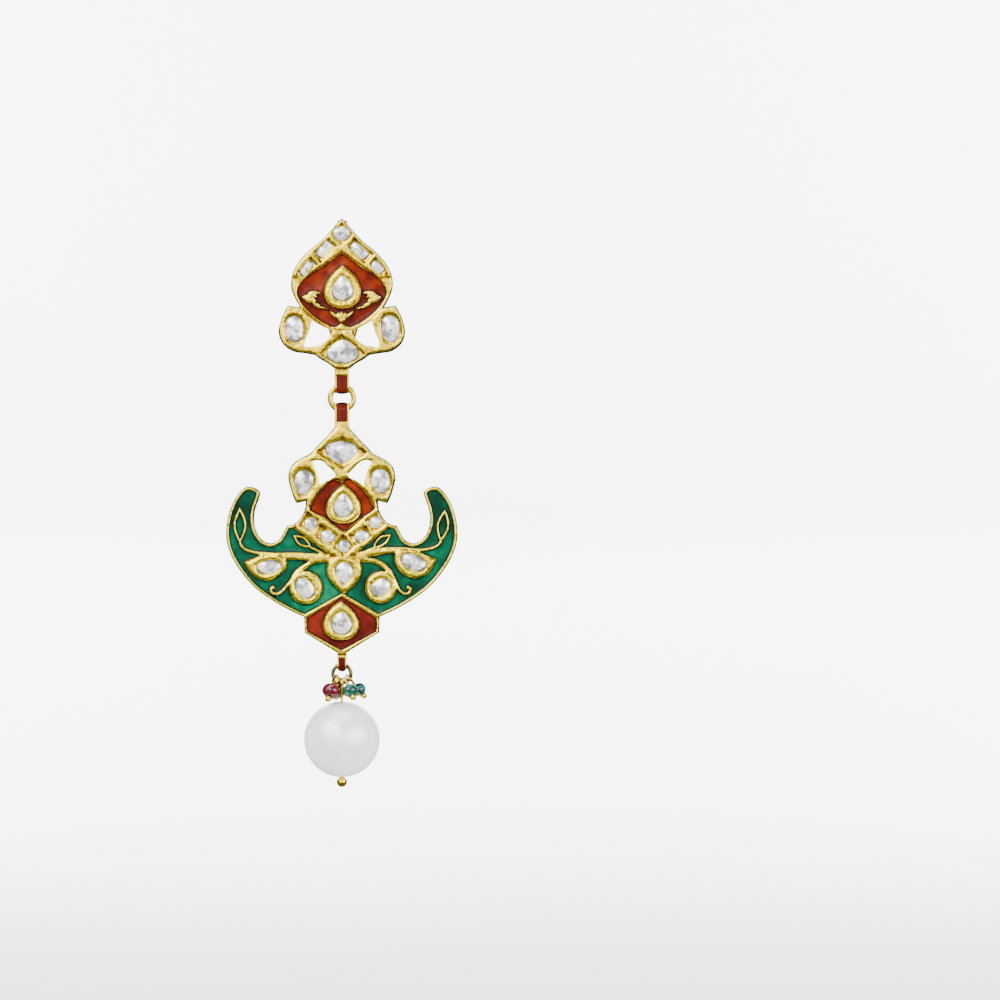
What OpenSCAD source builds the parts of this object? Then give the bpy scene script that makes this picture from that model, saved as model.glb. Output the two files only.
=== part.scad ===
// Drop earring in gold: an ear stud plate, a crescent pendant plate and a pearl drop.
// Flat diamonds sit in gold on the front, and enamel fills pockets on the front, sides and back.
// X is to the right, Z is up and the front faces -Y. The origin is the ear post's axis,
// on the back face of the stud plate. Sizes are in millimetres.

/* [Plates] */
// Width of the stud plate over its two side lobes
stud_w = 17.7; // [17.4:0.1:18.2]
// Thickness of the stud plate
stud_t = 2.2; // [2:0.1:2.6]
// Width of the pendant plate over its two horns
pend_w = 32.4; // [32:0.1:33.2]
// Thickness of the pendant plate
pend_t = 2.8; // [2.4:0.1:3.2]
// Height of the gold round the stones above the plate's face
rise = 0.35; // [0.2:0.05:0.45]

/* [Enamel] */
// Depth of the enamel pockets
pocket_d = 0.4; // [0.3:0.05:0.5]
// Depth of the enamel round the sides
wall_d = 0.25; // [0.2:0.05:0.3]
// Width of the gold edge in front of the side enamel and behind it
lip = 0.3; // [0.2:0.05:0.4]
// How far the side enamel stands out past each plate's front edge
front_in = 0.15; // [0.05:0.01:0.2]
// Gap round each piece of enamel and each stone
gap = 0.02; // [0.01:0.01:0.03]
// Gold line between two cells of enamel on the back
line_w = 0.14; // [0.12:0.01:0.16]

/* [Stones] */
// Depth of a stone's seat below the plate's face
seat_d = 0.8; // [0.6:0.1:0.9]
// Share of a stone's width that its table takes
table = 0.6; // [0.4:0.05:0.75]

/* [Bails and rings] */
// Outer radius of the two upper bails
bail_r = 1.0; // [0.98:0.01:1.1]
// Bore radius of the two upper bails
bail_bore = 0.62; // [0.6:0.01:0.64]
// Width of the two upper bails
bail_w = 2.05; // [1.9:0.05:2.1]
// Mean radius of the upper ring
ring_r = 1.7; // [1.68:0.01:1.8]
// Wire radius of the upper ring
ring_wire = 0.32; // [0.28:0.01:0.33]
// Outer radius of the lower bail
low_bail_r = 0.92; // [0.88:0.01:0.96]
// Bore radius of the lower bail
low_bail_bore = 0.5; // [0.48:0.01:0.54]
// Width of the lower bail
low_bail_w = 1.25; // [1.1:0.05:1.3]
// Mean radius of the lower ring
low_ring_r = 1.26; // [1.24:0.01:1.3]
// Wire radius of the lower ring
low_wire = 0.28; // [0.24:0.01:0.29]

/* [Pearl and beads] */
// Radius of the pearl
pearl_r = 5.28; // [5:0.02:5.4]
// Wire radius of the pearl's pin
pin_wire = 0.17; // [0.15:0.01:0.18]
// Radius of the gold ball under the pearl
ball_r = 0.68; // [0.6:0.02:0.75]
// Wire radius of the pins of the small beads
bead_wire = 0.13; // [0.12:0.01:0.14]
// Radius of a ruby bead
ruby_r = 1.25; // [1.15:0.05:1.3]
// Radius of an emerald bead
emerald_r = 1.05; // [0.95:0.05:1.1]

/* [Ear fitting] */
// Radius of the ear post
post_r = 0.5; // [0.45:0.01:0.52]
// Length of the ear post behind the plate
post_l = 10.4; // [10:0.1:11]
// Radius of the back nut's disc
disc_r = 4.5; // [4:0.1:4.7]
// Distance from the plate to the back nut
nut_y = 5.9; // [5.7:0.1:6.2]
// Wire radius of the omega clip
omega_wire_r = 0.4; // [0.36:0.01:0.42]
// Radius of the omega clip's round end
omega_r = 4.1; // [3.9:0.1:4.3]
// Distance from the plate to the omega clip's hinge
hinge_y = 6.0; // [5.8:0.1:6.2]

/* [Hidden] */
$fn = 48;
gold = [0.86, 0.68, 0.30];
dark_gold = [0.55, 0.47, 0.24];
red = [0.62, 0.13, 0.06];
green = [0.02, 0.42, 0.30];
leaf_green = [0.05, 0.35, 0.20];
blue = [0.13, 0.13, 0.40];
white = [0.90, 0.92, 0.95];
diamond = [0.88, 0.88, 0.90];

// The tables below are drawn for these widths and scale with the two plates
stud_k = stud_w / 17.7;
pend_k = pend_w / 32.4;
// Height of the stud's bail bore and of the pendant's bail bore in the tables
bail_z = -16.83 * stud_k;
drawn_pend_z = -19.9;
// The rings' highest and lowest points lie this far from the middle of the bores
function sag(r, w) = (r - sqrt(r * r - w * w / 4)) / 2;
ring_z = bail_z + sag(ring_r, bail_w) - ring_r;
pend_z = ring_z - ring_r + sag(ring_r, bail_w);
low_bail_z = pend_z + (-55.72 - drawn_pend_z) * pend_k;
low_ring_z = low_bail_z + sag(low_ring_r, low_bail_w) - low_ring_r;
// Both plates, the rings and the pearl share one middle plane
mid_y = -stud_t / 2;
stud_front = -stud_t;
pend_front = mid_y - pend_t / 2;
pend_back = mid_y + pend_t / 2;
hinge_z = -11.5;
cut = 0.1;

// Points of the stud's and the pendant's tables, at the chosen widths
function stud_at(t) = [for (p = t) concat([p[0] * stud_k, p[1] * stud_k], rest(p))];
function pend_at(t) =
    [for (p = t) concat([p[0] * pend_k, pend_z + (p[1] - drawn_pend_z) * pend_k], rest(p))];
function rest(p) = len(p) > 2 ? [p[2]] : [];

// A half outline, from top to bottom on the right, with its mirror image
function both_halves(h) =
    concat(h, [for (i = [len(h) - 1:-1:0]) if (h[i][0] > 0) [-h[i][0], h[i][1], h[i][2]]]);
function mirrored(t) = [for (i = [len(t) - 1:-1:0]) [-t[i][0], t[i][1], t[i][2]]];

// A closed curve through knots. The third column is 1 at a corner and 0 on a smooth stretch.
function flat(p) = [p[0], p[1]];
function knot(k, i) = k[(i + len(k)) % len(k)];
function unit(v) = v / norm(v);
function tangent(k, i) =
    let(a = flat(knot(k, i)) - flat(knot(k, i - 1)), b = flat(knot(k, i + 1)) - flat(knot(k, i)),
        v = a * norm(b) / norm(a) + b * norm(a) / norm(b))
    unit(v);
function hermite(p, q, u, v, t) =
    p * (2 * pow(t, 3) - 3 * t * t + 1) + u * (pow(t, 3) - 2 * t * t + t)
    + q * (3 * t * t - 2 * pow(t, 3)) + v * (pow(t, 3) - t * t);
function span_points(k, i, n) =
    let(p = flat(knot(k, i)), q = flat(knot(k, i + 1)), chord = q - p,
        c0 = knot(k, i)[2] == 1, c1 = knot(k, i + 1)[2] == 1,
        s0 = tangent(k, i) * norm(chord), s1 = tangent(k, i + 1) * norm(chord),
        u = c0 ? (c1 ? chord : 1.5 * chord - 0.5 * s1) : s0,
        v = c1 ? (c0 ? chord : 1.5 * chord - 0.5 * s0) : s1)
    c0 && c1 ? [p] : [for (j = [0:n - 1]) hermite(p, q, u, v, j / n)];
function curve(k, n = 3) = [for (i = [0:len(k) - 1]) each span_points(k, i, n)];

// A ribbon along an open line of knots. The third column is its width there.
function open_knot(k, i) = k[max(0, min(len(k) - 1, i))];
function open_points(k, n) =
    [for (i = [0:len(k) - 2], j = [0:n - 1])
        hermite(k[i], k[i + 1], (k[i + 1] - open_knot(k, i - 1)) / 2,
            (open_knot(k, i + 2) - k[i]) / 2, j / n),
     k[len(k) - 1]];
function ribbon(k, n = 2) =
    let(c = open_points(k, n), m = len(c) - 1,
        side = [for (i = [0:m])
            let(e = unit(flat(c[min(i + 1, m)] - c[max(i - 1, 0)])))
            [-e[1], e[0]] * c[i][2] / 2])
    concat([for (i = [0:m]) flat(c[i]) + side[i]], [for (i = [m:-1:0]) flat(c[i]) - side[i]]);

// A leaf from one point to another, with its greatest width and the bow of its middle line
function leaf(a, b, w, bow = 0, n = 5) =
    let(d = b - a, s = unit([-d[1], d[0]]),
        mid = [for (i = [0:n]) a + d * i / n + s * bow * sin(180 * i / n)])
    concat([for (i = [0:n]) mid[i] + s * w / 2 * sin(180 * i / n)],
        [for (i = [n - 1:-1:1]) mid[i] - s * w / 2 * sin(180 * i / n)]);

// A round, cushion or drop outline. point is 0 for an oval and 1 for a sharp drop with its
// point up, and square is 1 for an oval and 2 for a cushion.
function signed_pow(v, e) = sign(v) * pow(abs(v), e);
function drop_peak(m) = 2 * pow((m + 1) / (m + 2), (m + 1) / 2) * sqrt(1 / (m + 2));
function gem(w, h, point = 0, square = 1, n = 16) =
    [for (i = [0:n - 1])
        let(t = 360 * i / n)
        [w / 2 * signed_pow(sin(t) * pow(abs(sin(t / 2)), point) / (point > 0 ? drop_peak(point) : 1),
            1 / square),
         h / 2 * signed_pow(cos(t), 1 / square)]];
function turned(pts, a) =
    [for (p = pts) [p[0] * cos(a) - p[1] * sin(a), p[0] * sin(a) + p[1] * cos(a)]];
function moved(pts, c) = [for (p = pts) [p[0] + c[0], p[1] + c[1]]];
// A drop whose point is at a and whose round end reaches b
function drop(a, b, w, n = 12) =
    let(d = a - b)
    moved(turned(gem(w, norm(d), 0.8, 1, n), atan2(d[1], d[0]) - 90), (a + b) / 2);

// A flat drawing in X and Z, made solid from y_back towards the front
module slab(y_back, t) {
    translate([0, y_back, 0]) rotate([90, 0, 0]) linear_extrude(t) children();
}
// A drawing in Y and Z, made solid across X
module across(w, x = 0) {
    translate([x, 0, 0]) rotate([90, 0, 90]) linear_extrude(w, center = true) children();
}

// Half outline of the stud plate: x, z, corner
stud_half = stud_at([
    [0, 6.85, 1], [0.9, 5.85, 0], [2.7, 3.85, 0], [4.5, 2.35, 0], [5.8, 1.0, 0], [6.7, -0.4, 0],
    [7.1, -1.8, 0], [7.1, -3.0, 0], [6.6, -4.4, 0], [5.9, -5.65, 1], [7.5, -5.4, 1],
    [8.0, -6.25, 0], [8.6, -7.7, 0], [8.85, -9.4, 0], [8.2, -10.9, 0], [6.8, -11.85, 0],
    [5.2, -12.1, 0], [3.8, -12.35, 1], [3.0, -12.95, 0], [2.0, -13.5, 0], [1.0, -14.3, 1]]);
// The medallion alone, down to where it meets the lower diamond: x, z, corner
medallion_half = stud_at([
    [0, 6.85, 1], [0.9, 5.85, 0], [2.7, 3.85, 0], [4.5, 2.35, 0], [5.8, 1.0, 0], [6.7, -0.4, 0],
    [7.1, -1.8, 0], [7.1, -3.0, 0], [6.6, -4.4, 0], [5.3, -6.1, 0], [3.7, -7.55, 0],
    [1.6, -8.65, 0], [0, -8.9, 0]]);
// Pierced gap beside the medallion's tip: x, z, corner
stud_gap = stud_at([
    [4.2, -7.45, 1], [2.9, -8.25, 0], [1.15, -9.0, 1], [1.5, -9.5, 0], [2.2, -10.3, 0],
    [3.35, -11.05, 0], [5.25, -11.25, 1], [5.2, -10.4, 0], [4.6, -9.0, 0]]);
// Red panel of the stud: x, z, corner
stud_panel_half = stud_at([
    [0, 1.9, 1], [2.85, -0.1, 0], [4.8, -1.35, 0], [5.8, -2.35, 0], [6.3, -3.5, 0],
    [5.9, -4.75, 0], [4.9, -6.05, 0], [3.6, -7.2, 0], [1.95, -8.2, 0], [1.05, -8.5, 0],
    [0.3, -8.15, 1], [0, -7.95, 1]]);
// Gold crown leaf beside the stud's pear stone: x, z, corner
crown = stud_at([
    [5.5, -4.3, 1], [5.1, -4.05, 0], [4.75, -3.95, 1], [4.5, -3.6, 0], [3.8, -3.45, 0],
    [3.0, -3.7, 1], [3.7, -3.95, 1], [3.45, -4.25, 1], [3.9, -4.4, 1], [3.6, -4.8, 1],
    [3.8, -5.0, 1], [3.05, -5.3, 1], [3.2, -5.5, 1], [2.05, -5.85, 1], [3.0, -5.8, 0],
    [3.7, -5.5, 0], [4.15, -5.05, 1], [4.5, -5.05, 0], [5.0, -4.75, 0]]);
// Gold crown leaf under the stud's pear stone: x, z, corner
low_crown_half = stud_at([
    [0, -6.3, 1], [0.25, -6.65, 1], [0.5, -6.45, 1], [0.75, -6.75, 1], [1.6, -6.25, 1],
    [1.15, -6.9, 0], [0.85, -7.1, 1], [0.6, -7.2, 0], [0.4, -7.55, 0], [0, -7.75, 1]]);

// Half outline of the pendant plate: x, z, corner
pend_half = pend_at([
    [0, -22.0, 1], [1.0, -22.4, 1], [2.2, -23.8, 0], [3.6, -25.2, 0], [4.3, -26.0, 0], [6.15, -27.0, 0],
    [7.1, -27.9, 0], [7.5, -29.4, 0], [7.15, -31.1, 0], [6.75, -32.3, 0], [6.35, -33.1, 1],
    [5.05, -32.75, 1], [5.25, -34.1, 0], [6.2, -35.6, 0], [6.95, -36.05, 0], [7.65, -36.2, 1],
    [8.05, -36.9, 0], [8.8, -38.15, 0], [10.0, -38.65, 0], [11.1, -38.2, 0], [11.95, -37.0, 0],
    [12.3, -35.4, 0], [12.15, -34.0, 0], [11.6, -32.4, 0], [11.35, -31.5, 1], [12.3, -30.85, 0],
    [13.3, -30.75, 0], [14.4, -31.65, 0], [15.5, -33.65, 0], [16.1, -36.0, 0], [16.1, -38.4, 0],
    [15.4, -40.55, 0], [14.0, -42.8, 0], [12.2, -44.85, 0], [9.6, -46.75, 0], [7.2, -48.1, 0],
    [5.3, -48.95, 1], [5.2, -51.15, 1], [0.7, -53.95, 1]]);
// Pierced gap beside the pendant's top stone: x, z, corner
pend_gap = pend_at([
    [4.2, -27.2, 1], [3.2, -27.05, 0], [2.4, -27.4, 0], [1.7, -28.1, 0], [0.9, -28.9, 1],
    [0.9, -29.35, 1], [1.8, -29.8, 0], [3.1, -30.6, 1], [3.3, -29.5, 0], [3.7, -28.3, 0]]);
// Upper red panel of the pendant: x, z, corner
pend_panel = pend_at([
    [-1.35, -29.8, 0], [0.05, -30.2, 1], [0.95, -29.6, 0], [1.8, -30.1, 0], [2.9, -31.05, 0],
    [3.85, -32.25, 0], [4.6, -33.95, 1], [3.6, -34.65, 0], [2.4, -35.35, 0], [0.6, -37.0, 1],
    [-0.6, -36.5, 0], [-1.9, -35.4, 0], [-3.3, -34.7, 0], [-4.55, -33.95, 1], [-4.05, -33.0, 0],
    [-3.3, -31.8, 0], [-2.3, -30.6, 0]]);
// Band of five stones under the upper red panel: x, z, corner
chevron = pend_at([
    [-6.9, -35.2, 1], [-4.8, -33.3, 1], [0.5, -37.2, 1], [4.9, -33.3, 1], [6.9, -35.2, 1],
    [6.35, -36.65, 1], [1.7, -40.3, 1], [0.3, -40.9, 1], [-1.7, -40.2, 1], [-6.4, -36.7, 1]]);
// Region of the green panels, between the band above and the low panel below: x, z, corner
green_region = pend_at([
    [-17, -30, 1], [-9.5, -30, 1], [-7.2, -35.9, 1], [-6.4, -36.7, 1], [-1.7, -40.2, 1], [0.3, -40.9, 1],
    [1.7, -40.3, 1], [6.35, -36.65, 1], [7.2, -35.9, 1], [9.5, -30, 1],
    [17, -30, 1], [17, -49, 1], [5.3, -48.65, 1], [0.15, -45.65, 1], [-5.3, -48.65, 1], [-17, -49, 1]]);
// Low red panel: x, z, corner
low_panel_half = pend_at([
    [0.1, -46.1, 1], [4.85, -49.0, 1], [4.95, -50.0, 0], [4.85, -51.0, 1], [0.05, -53.6, 1]]);

// Seats cut for stones, with the shape of each stone:
// x, z, width, height, point, square, turn
stud_seats = [
    [0.0, 4.6, 2.5, 2.1, 0, 1.0, 0],
    [-2.45, 2.4, 1.4, 2.75, 0, 2.1, -42],
    [2.45, 2.2, 1.4, 2.95, 0, 2.1, 48],
    [-4.9, -0.25, 1.1, 2.6, 0, 1.8, -36],
    [5.0, -0.1, 1.3, 2.1, 0, 1.6, 42],
    [0.1, -3.05, 3.0, 3.6, 0.75, 1.05, 0],
    [-6.6, -8.75, 2.6, 3.8, 0, 1.15, 4],
    [6.8, -8.7, 2.65, 3.9, 0.15, 1.15, 186],
    [0.15, -11.85, 4.6, 3.4, 0.7, 1.05, 0]];
pend_seats = [
    [-0.05, -25.95, 4.6, 3.2, 0.65, 1.05, 180],
    [-5.3, -30.2, 2.75, 3.6, 0.6, 1.05, 172],
    [5.45, -30.0, 2.7, 3.55, 0.3, 1.1, 190],
    [0.25, -33.35, 2.8, 3.4, 0.75, 1.05, 0],
    [-4.3, -35.95, 1.8, 1.8, 0, 1.3, 33],
    [-1.95, -37.7, 2.0, 1.6, 0, 1.3, -20],
    [0.35, -39.05, 1.75, 1.75, 0, 1.0, 0],
    [2.8, -37.7, 2.05, 1.6, 0, 1.3, 25],
    [4.7, -35.75, 1.75, 1.65, 0, 1.3, -33],
    [0.35, -42.85, 2.55, 3.15, 0.6, 1.05, 180],
    [-10.15, -41.95, 3.45, 1.95, 0, 1.15, 8],
    [10.0, -41.3, 3.8, 2.2, 0, 1.15, -24],
    [-5.15, -44.9, 2.25, 3.3, 0, 1.15, 38],
    [5.45, -44.8, 3.0, 2.3, 0, 1.15, 38],
    [0.0, -49.8, 3.0, 3.25, 0.45, 1.05, 0]];
// Collars of gold that stand round single stones: x, z, width, height, point, square, turn
stud_collars = [[0.1, -2.9, 5.2, 6.0, 0.65, 1, 0]];
pend_collars = [
    [0.25, -33.2, 4.9, 5.4, 0.6, 1, 0],
    [0.35, -42.95, 4.9, 5.4, 0.7, 1, 180],
    [-5.0, -44.85, 4.6, 4.6, 0, 1, 0],
    [5.5, -44.8, 4.4, 4.5, 0, 1, 0],
    [-0.1, -49.5, 5.1, 5.4, 0.6, 1, 0]];
// Leaf-shaped collars round the two long stones: x, z, corner
leaf_collars = [
    pend_at([[-13.6, -41.3, 1], [-12.4, -40.75, 0], [-10.6, -40.2, 0], [-8.6, -40.3, 0],
        [-7.6, -41.4, 0], [-8.6, -43.0, 0], [-10.4, -43.85, 0], [-12.1, -43.3, 0]]),
    pend_at([[13.15, -40.95, 1], [11.6, -40.2, 0], [9.3, -39.6, 0], [7.5, -39.9, 0],
        [7.5, -41.5, 0], [8.7, -43.0, 0], [10.3, -43.55, 0], [12.0, -42.8, 0]])];
// Gold stems over the green panels: x, z, width
stems = [
    [[-1.2, -40.65, 0.95], [-3.6, -40.6, 0.95], [-6.4, -40.45, 0.95], [-9.0, -40.35, 0.7],
     [-11.5, -40.05, 0.35], [-12.9, -39.75, 0.28], [-13.8, -39.25, 0.28], [-14.2, -38.5, 0.28]],
    [[1.2, -40.75, 0.95], [3.1, -40.2, 0.9], [5.2, -39.8, 0.9], [7.4, -39.55, 0.7],
     [9.2, -39.55, 0.5], [11.0, -39.6, 0.3], [12.6, -39.35, 0.28], [13.5, -38.9, 0.28],
     [13.85, -38.35, 0.28]],
    [[-1.4, -40.95, 0.6], [-3.6, -41.1, 0.55], [-4.9, -41.75, 0.6], [-6.2, -42.7, 0.6],
     [-7.1, -43.9, 0.4], [-8.2, -45.25, 0.3], [-9.05, -45.75, 0.3], [-9.8, -45.5, 0.3],
     [-9.85, -44.95, 0.35], [-9.4, -44.75, 0.42]],
    [[1.4, -40.95, 0.6], [3.9, -41.0, 0.55], [5.4, -41.45, 0.6], [6.6, -42.5, 0.6],
     [7.4, -43.8, 0.4], [8.0, -45.1, 0.3], [8.75, -45.7, 0.3], [9.45, -45.5, 0.3],
     [9.55, -44.95, 0.35], [9.1, -44.75, 0.42]],
    [[-2.0, -40.35, 0.22], [-3.1, -39.8, 0.22], [-4.4, -39.2, 0.22]],
    [[2.0, -40.4, 0.22], [3.1, -39.85, 0.22], [4.5, -39.3, 0.22]]];
// Outlined gold leaves at the ends of the stems: base x, base z, tip x, tip z, width
stem_leaves = [
    [-14.2, -38.6, -14.2, -33.7, 1.75], [13.8, -38.45, 14.45, -34.0, 1.7],
    [-4.3, -39.15, -6.75, -37.6, 1.3], [4.4, -39.25, 6.85, -37.45, 1.3]];
leaf_line = 0.24;

// Hollows round the stones that stand in raised gold, so that ribs are left between them:
// x, z of each hollow's corners
stud_hollows = [
    [[0, 5.95], [-1.35, 4.57], [0, 3.15], [1.35, 4.45]],
    [[-1.8, 3.8], [-0.85, 2.8], [-2.9, 0.6], [-3.95, 1.75]],
    [[1.8, 3.9], [0.9, 2.8], [3.25, 0.55], [4.3, 1.7]],
    [[-4.25, 1.2], [-3.5, 0.25], [-5.8, -1.6], [-6.25, -1.3], [-5.9, -0.5]],
    [[4.75, 1.15], [4.05, 0.3], [6.1, -1.5], [6.35, -1.2], [5.9, -0.2]],
    [[0, -9.65], [1.9, -10.9], [3.1, -12.2], [1.8, -12.95], [0.25, -13.75], [-1.65, -12.95],
     [-2.95, -12.2], [-1.8, -10.9]]];
pend_hollows = [
    [[0.1, -24.0], [1.6, -24.9], [3.3, -26.0], [2.3, -26.6], [0.2, -28.1], [-2.1, -26.7],
     [-3.2, -25.9], [-1.5, -24.9]],
    [[-4.75, -34.5], [-3.35, -35.4], [-4.2, -36.75], [-5.75, -36.1]],
    [[-2.95, -36.2], [-0.7, -37.55], [-1.2, -38.65], [-3.45, -37.65]],
    [[0.16, -37.65], [1.45, -39.05], [0.24, -40.25], [-1.0, -39.0]],
    [[1.2, -37.65], [3.4, -36.35], [3.95, -37.6], [1.85, -38.75]],
    [[3.5, -35.55], [5.0, -34.5], [5.8, -35.95], [4.35, -36.8]]];
// Seats in the side lobes, by number, which have a hollow of the stone's own shape
stud_lobe_seats = [6, 7];
pend_lobe_seats = [1, 2];
lobe_hollow = 0.3;
hollow_d = 0.3;
// The other hollows are this much larger all round than drawn
stud_hollow_out = 0.12;
pend_hollow_out = 0.2;

// Drop-shaped red cells on the pendant's back, right half: point x, z, round end x, z, width
red_drops = [
    [1.75, -37.05, 3.5, -34.15, 2.5], [6.75, -42.35, 6.95, -39.35, 2.6],
    [7.1, -42.75, 10.6, -43.3, 2.7], [6.55, -43.25, 5.85, -46.6, 2.5],
    [13.65, -36.7, 13.65, -40.3, 2.05]];
red_middle_drops = [[0, -38.7, 0, -34.85, 3.0], [0, -51.5, 0, -47.55, 2.5]];
// Red petals that are pointed at both ends: x, z, x, z, width, bow
red_petals = [[0.3, -38.95, 4.45, -38.4, 1.95, -0.1], [0.3, -52.35, 3.5, -49.95, 1.7, -0.2]];
// Red cells with an outline of their own: x, z, corner
red_bud_half = pend_at([
    [0, -23.15, 0], [1.0, -23.55, 0], [1.25, -24.3, 0], [1.6, -24.6, 0], [2.6, -25.3, 1],
    [1.4, -26.05, 0], [0.5, -26.9, 0], [0, -27.5, 1]]);
red_fan_half = pend_at([
    [0, -32.2, 0], [1.15, -32.5, 0], [1.65, -33.4, 0], [1.35, -34.5, 1], [0, -34.35, 0]]);
lobe_bud = pend_at([
    [5.9, -29.1, 1], [6.15, -32.4, 1], [5.3, -32.2, 0], [4.2, -31.9, 0], [3.75, -31.1, 0],
    [3.95, -30.4, 0], [3.8, -29.75, 0], [3.9, -29.15, 1], [4.8, -29.4, 0]]);
// Green leaves on the pendant's back, right half: x, z, x, z, width, bow
green_leaves = [
    [0.5, -28.3, 2.85, -26.85, 0.75, 0.12], [5.5, -27.25, 6.85, -29.4, 0.7, 0.15],
    [4.9, -27.15, 4.5, -28.5, 0.65, 0], [1.5, -31.3, 2.6, -33.55, 0.8, 0.12],
    [4.2, -37.15, 6.6, -38.0, 0.85, -0.2], [13.4, -32.6, 14.0, -36.2, 0.75, 0.12],
    [8.6, -41.35, 11.2, -40.15, 0.85, 0.12], [10.1, -42.0, 12.5, -41.85, 0.7, 0.1],
    [10.8, -42.1, 11.85, -43.3, 0.6, 0.08], [1.5, -43.6, 1.95, -41.0, 0.75, 0.1],
    [9.3, -45.0, 11.2, -44.2, 0.75, -0.1], [7.6, -44.6, 7.85, -46.6, 0.8, 0.2],
    [4.5, -47.15, 6.0, -47.55, 0.7, 0], [0.35, -45.2, 4.3, -40.35, 1.3, -0.25],
    [0.4, -46.45, 4.0, -44.45, 1.0, 0.25], [0.6, -47.0, 3.9, -46.35, 0.75, 0.12],
    [1.7, -47.55, 3.85, -48.3, 0.75, 0.15], [1.75, -49.3, 3.4, -48.75, 0.65, 0.08]];
green_middle_leaf = [0, -30.0, 0, -31.8, 0.9, 0];
// Blue drops on the pendant's back: point x, z, round end x, z, width
blue_middle_drop = [0, -41.3, 0, -39.4, 1.4];
blue_side_drop = [4.2, -43.0, 6.1, -42.7, 1.35];
// Line of the blue border where it leaves the plate's edge: x, z, corner
arch_half = pend_at([
    [0, -29.2, 1], [1.3, -30.0, 0], [2.75, -31.2, 0], [4.0, -32.8, 0], [4.75, -34.2, 0],
    [5.6, -35.6, 0], [6.3, -36.4, 1], [9, -30, 1], [17, -30, 1], [17, -49.5, 1], [5.6, -52, 1],
    [0, -54.6, 1]]);

// Cells on the stud's back, right half, in the same columns as the pendant's
stud_red_drops = [
    [1.3, -3.2, 4.3, -3.0, 1.9], [2.55, -1.9, 4.55, 0.9, 1.4], [0.75, -1.6, 2.1, 1.5, 1.3]];
stud_red_middle_drops = [[0, -2.2, 0, 2.6, 1.2], [0, -4.3, 0, -6.6, 1.5]];
stud_red_cell = stud_at([
    [7.1, -5.95, 1], [7.3, -7.4, 0], [7.05, -9.0, 1], [6.2, -8.5, 0], [5.35, -8.2, 1],
    [5.4, -7.3, 0], [6.0, -6.3, 0]]);
stud_low_red_half = stud_at([[0, -11.0, 0], [1.3, -11.0, 1], [1.1, -12.0, 0], [0, -12.55, 0]]);
stud_green_leaves = [
    [3.95, -1.65, 5.7, -0.6, 0.7, 0.1], [4.3, -2.05, 6.0, -2.9, 0.7, 0.1],
    [1.3, -5.9, 4.3, -4.6, 1.1, 0.15], [1.8, 2.0, 2.5, 3.3, 0.7, 0], [8.15, -8.5, 7.2, -11.0, 0.8, 0.15],
    [5.55, -9.5, 6.35, -11.1, 0.75, 0], [3.0, -12.1, 0.5, -13.75, 0.8, 0.1]];
stud_green_middle_leaf = [0, 2.9, 0, 4.2, 0.6, 0];

function stud_shape(row, n = 16) =
    moved(turned(gem(row[2] * stud_k, row[3] * stud_k, row[4], row[5], n), row[6]),
        stud_at([[row[0], row[1], 0]])[0]);
function pend_shape(row, n = 16) =
    moved(turned(gem(row[2] * pend_k, row[3] * pend_k, row[4], row[5], n), row[6]),
        pend_at([[row[0], row[1], 0]])[0]);
function stud_point(x, z) = flat(stud_at([[x, z, 0]])[0]);
function pend_point(x, z) = flat(pend_at([[x, z, 0]])[0]);

// Flat drawings of the stud
module stud_outline() { polygon(curve(both_halves(stud_half))); }
module stud_gaps() {
    polygon(curve(stud_gap));
    polygon(curve(mirrored(stud_gap)));
}
module stud_panel() {
    difference() {
        polygon(curve(both_halves(stud_panel_half)));
        polygon(stud_shape(stud_collars[0], 28));
        polygon(curve(crown, 2));
        polygon(curve(mirrored(crown), 2));
        polygon(curve(both_halves(low_crown_half), 2));
    }
}
// Raised gold of the stud: the row of stones, the lobes and the lower diamond.
// It stands a little inside the plate's edge and clear of the red panel.
edge_in = front_in + 0.06;
panel_out = 0.2;
// Windows that the raised gold is cut with: the medallion's lower part and the pendant's top
lower_part = [16, 7.6];
pend_top = [17, 12];
module stud_raised() {
    difference() {
        offset(delta = -edge_in) stud_outline();
        offset(delta = panel_out) polygon(curve(both_halves(stud_panel_half)));
        intersection() {
            offset(delta = 0.05) polygon(curve(both_halves(medallion_half)));
            translate([0, stud_point(0, -5.2)[1]]) square(lower_part, center = true);
        }
    }
}

// Flat drawings of the pendant
module pend_outline() { polygon(curve(both_halves(pend_half))); }
module pend_gaps() {
    polygon(curve(pend_gap));
    polygon(curve(mirrored(pend_gap)));
}
module pend_panel_cell() {
    difference() {
        polygon(curve(pend_panel));
        polygon(pend_shape(pend_collars[0], 28));
    }
}
module low_panel_cell() {
    difference() {
        polygon(curve(both_halves(low_panel_half)));
        polygon(pend_shape(pend_collars[4], 28));
    }
}
module stem_drawing() {
    for (s = stems) polygon(ribbon(pend_at(s)));
    for (l = stem_leaves) {
        difference() {
            polygon(leaf(pend_point(l[0], l[1]), pend_point(l[2], l[3]), l[4], 0, 7));
            polygon(leaf(
                pend_point(l[0], l[1]) * 0.92 + pend_point(l[2], l[3]) * 0.08,
                pend_point(l[0], l[1]) * 0.1 + pend_point(l[2], l[3]) * 0.9,
                l[4] - 2 * leaf_line, 0, 7));
        }
    }
}
// Gold edge outside the green panels, from the plate's outline
rim_w = 0.42;
module green_cells() {
    difference() {
        intersection() {
            offset(delta = -rim_w) pend_outline();
            polygon(curve(green_region));
        }
        for (i = [1:3]) polygon(pend_shape(pend_collars[i], 24));
        for (c = leaf_collars) polygon(curve(c));
        stem_drawing();
    }
}
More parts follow.
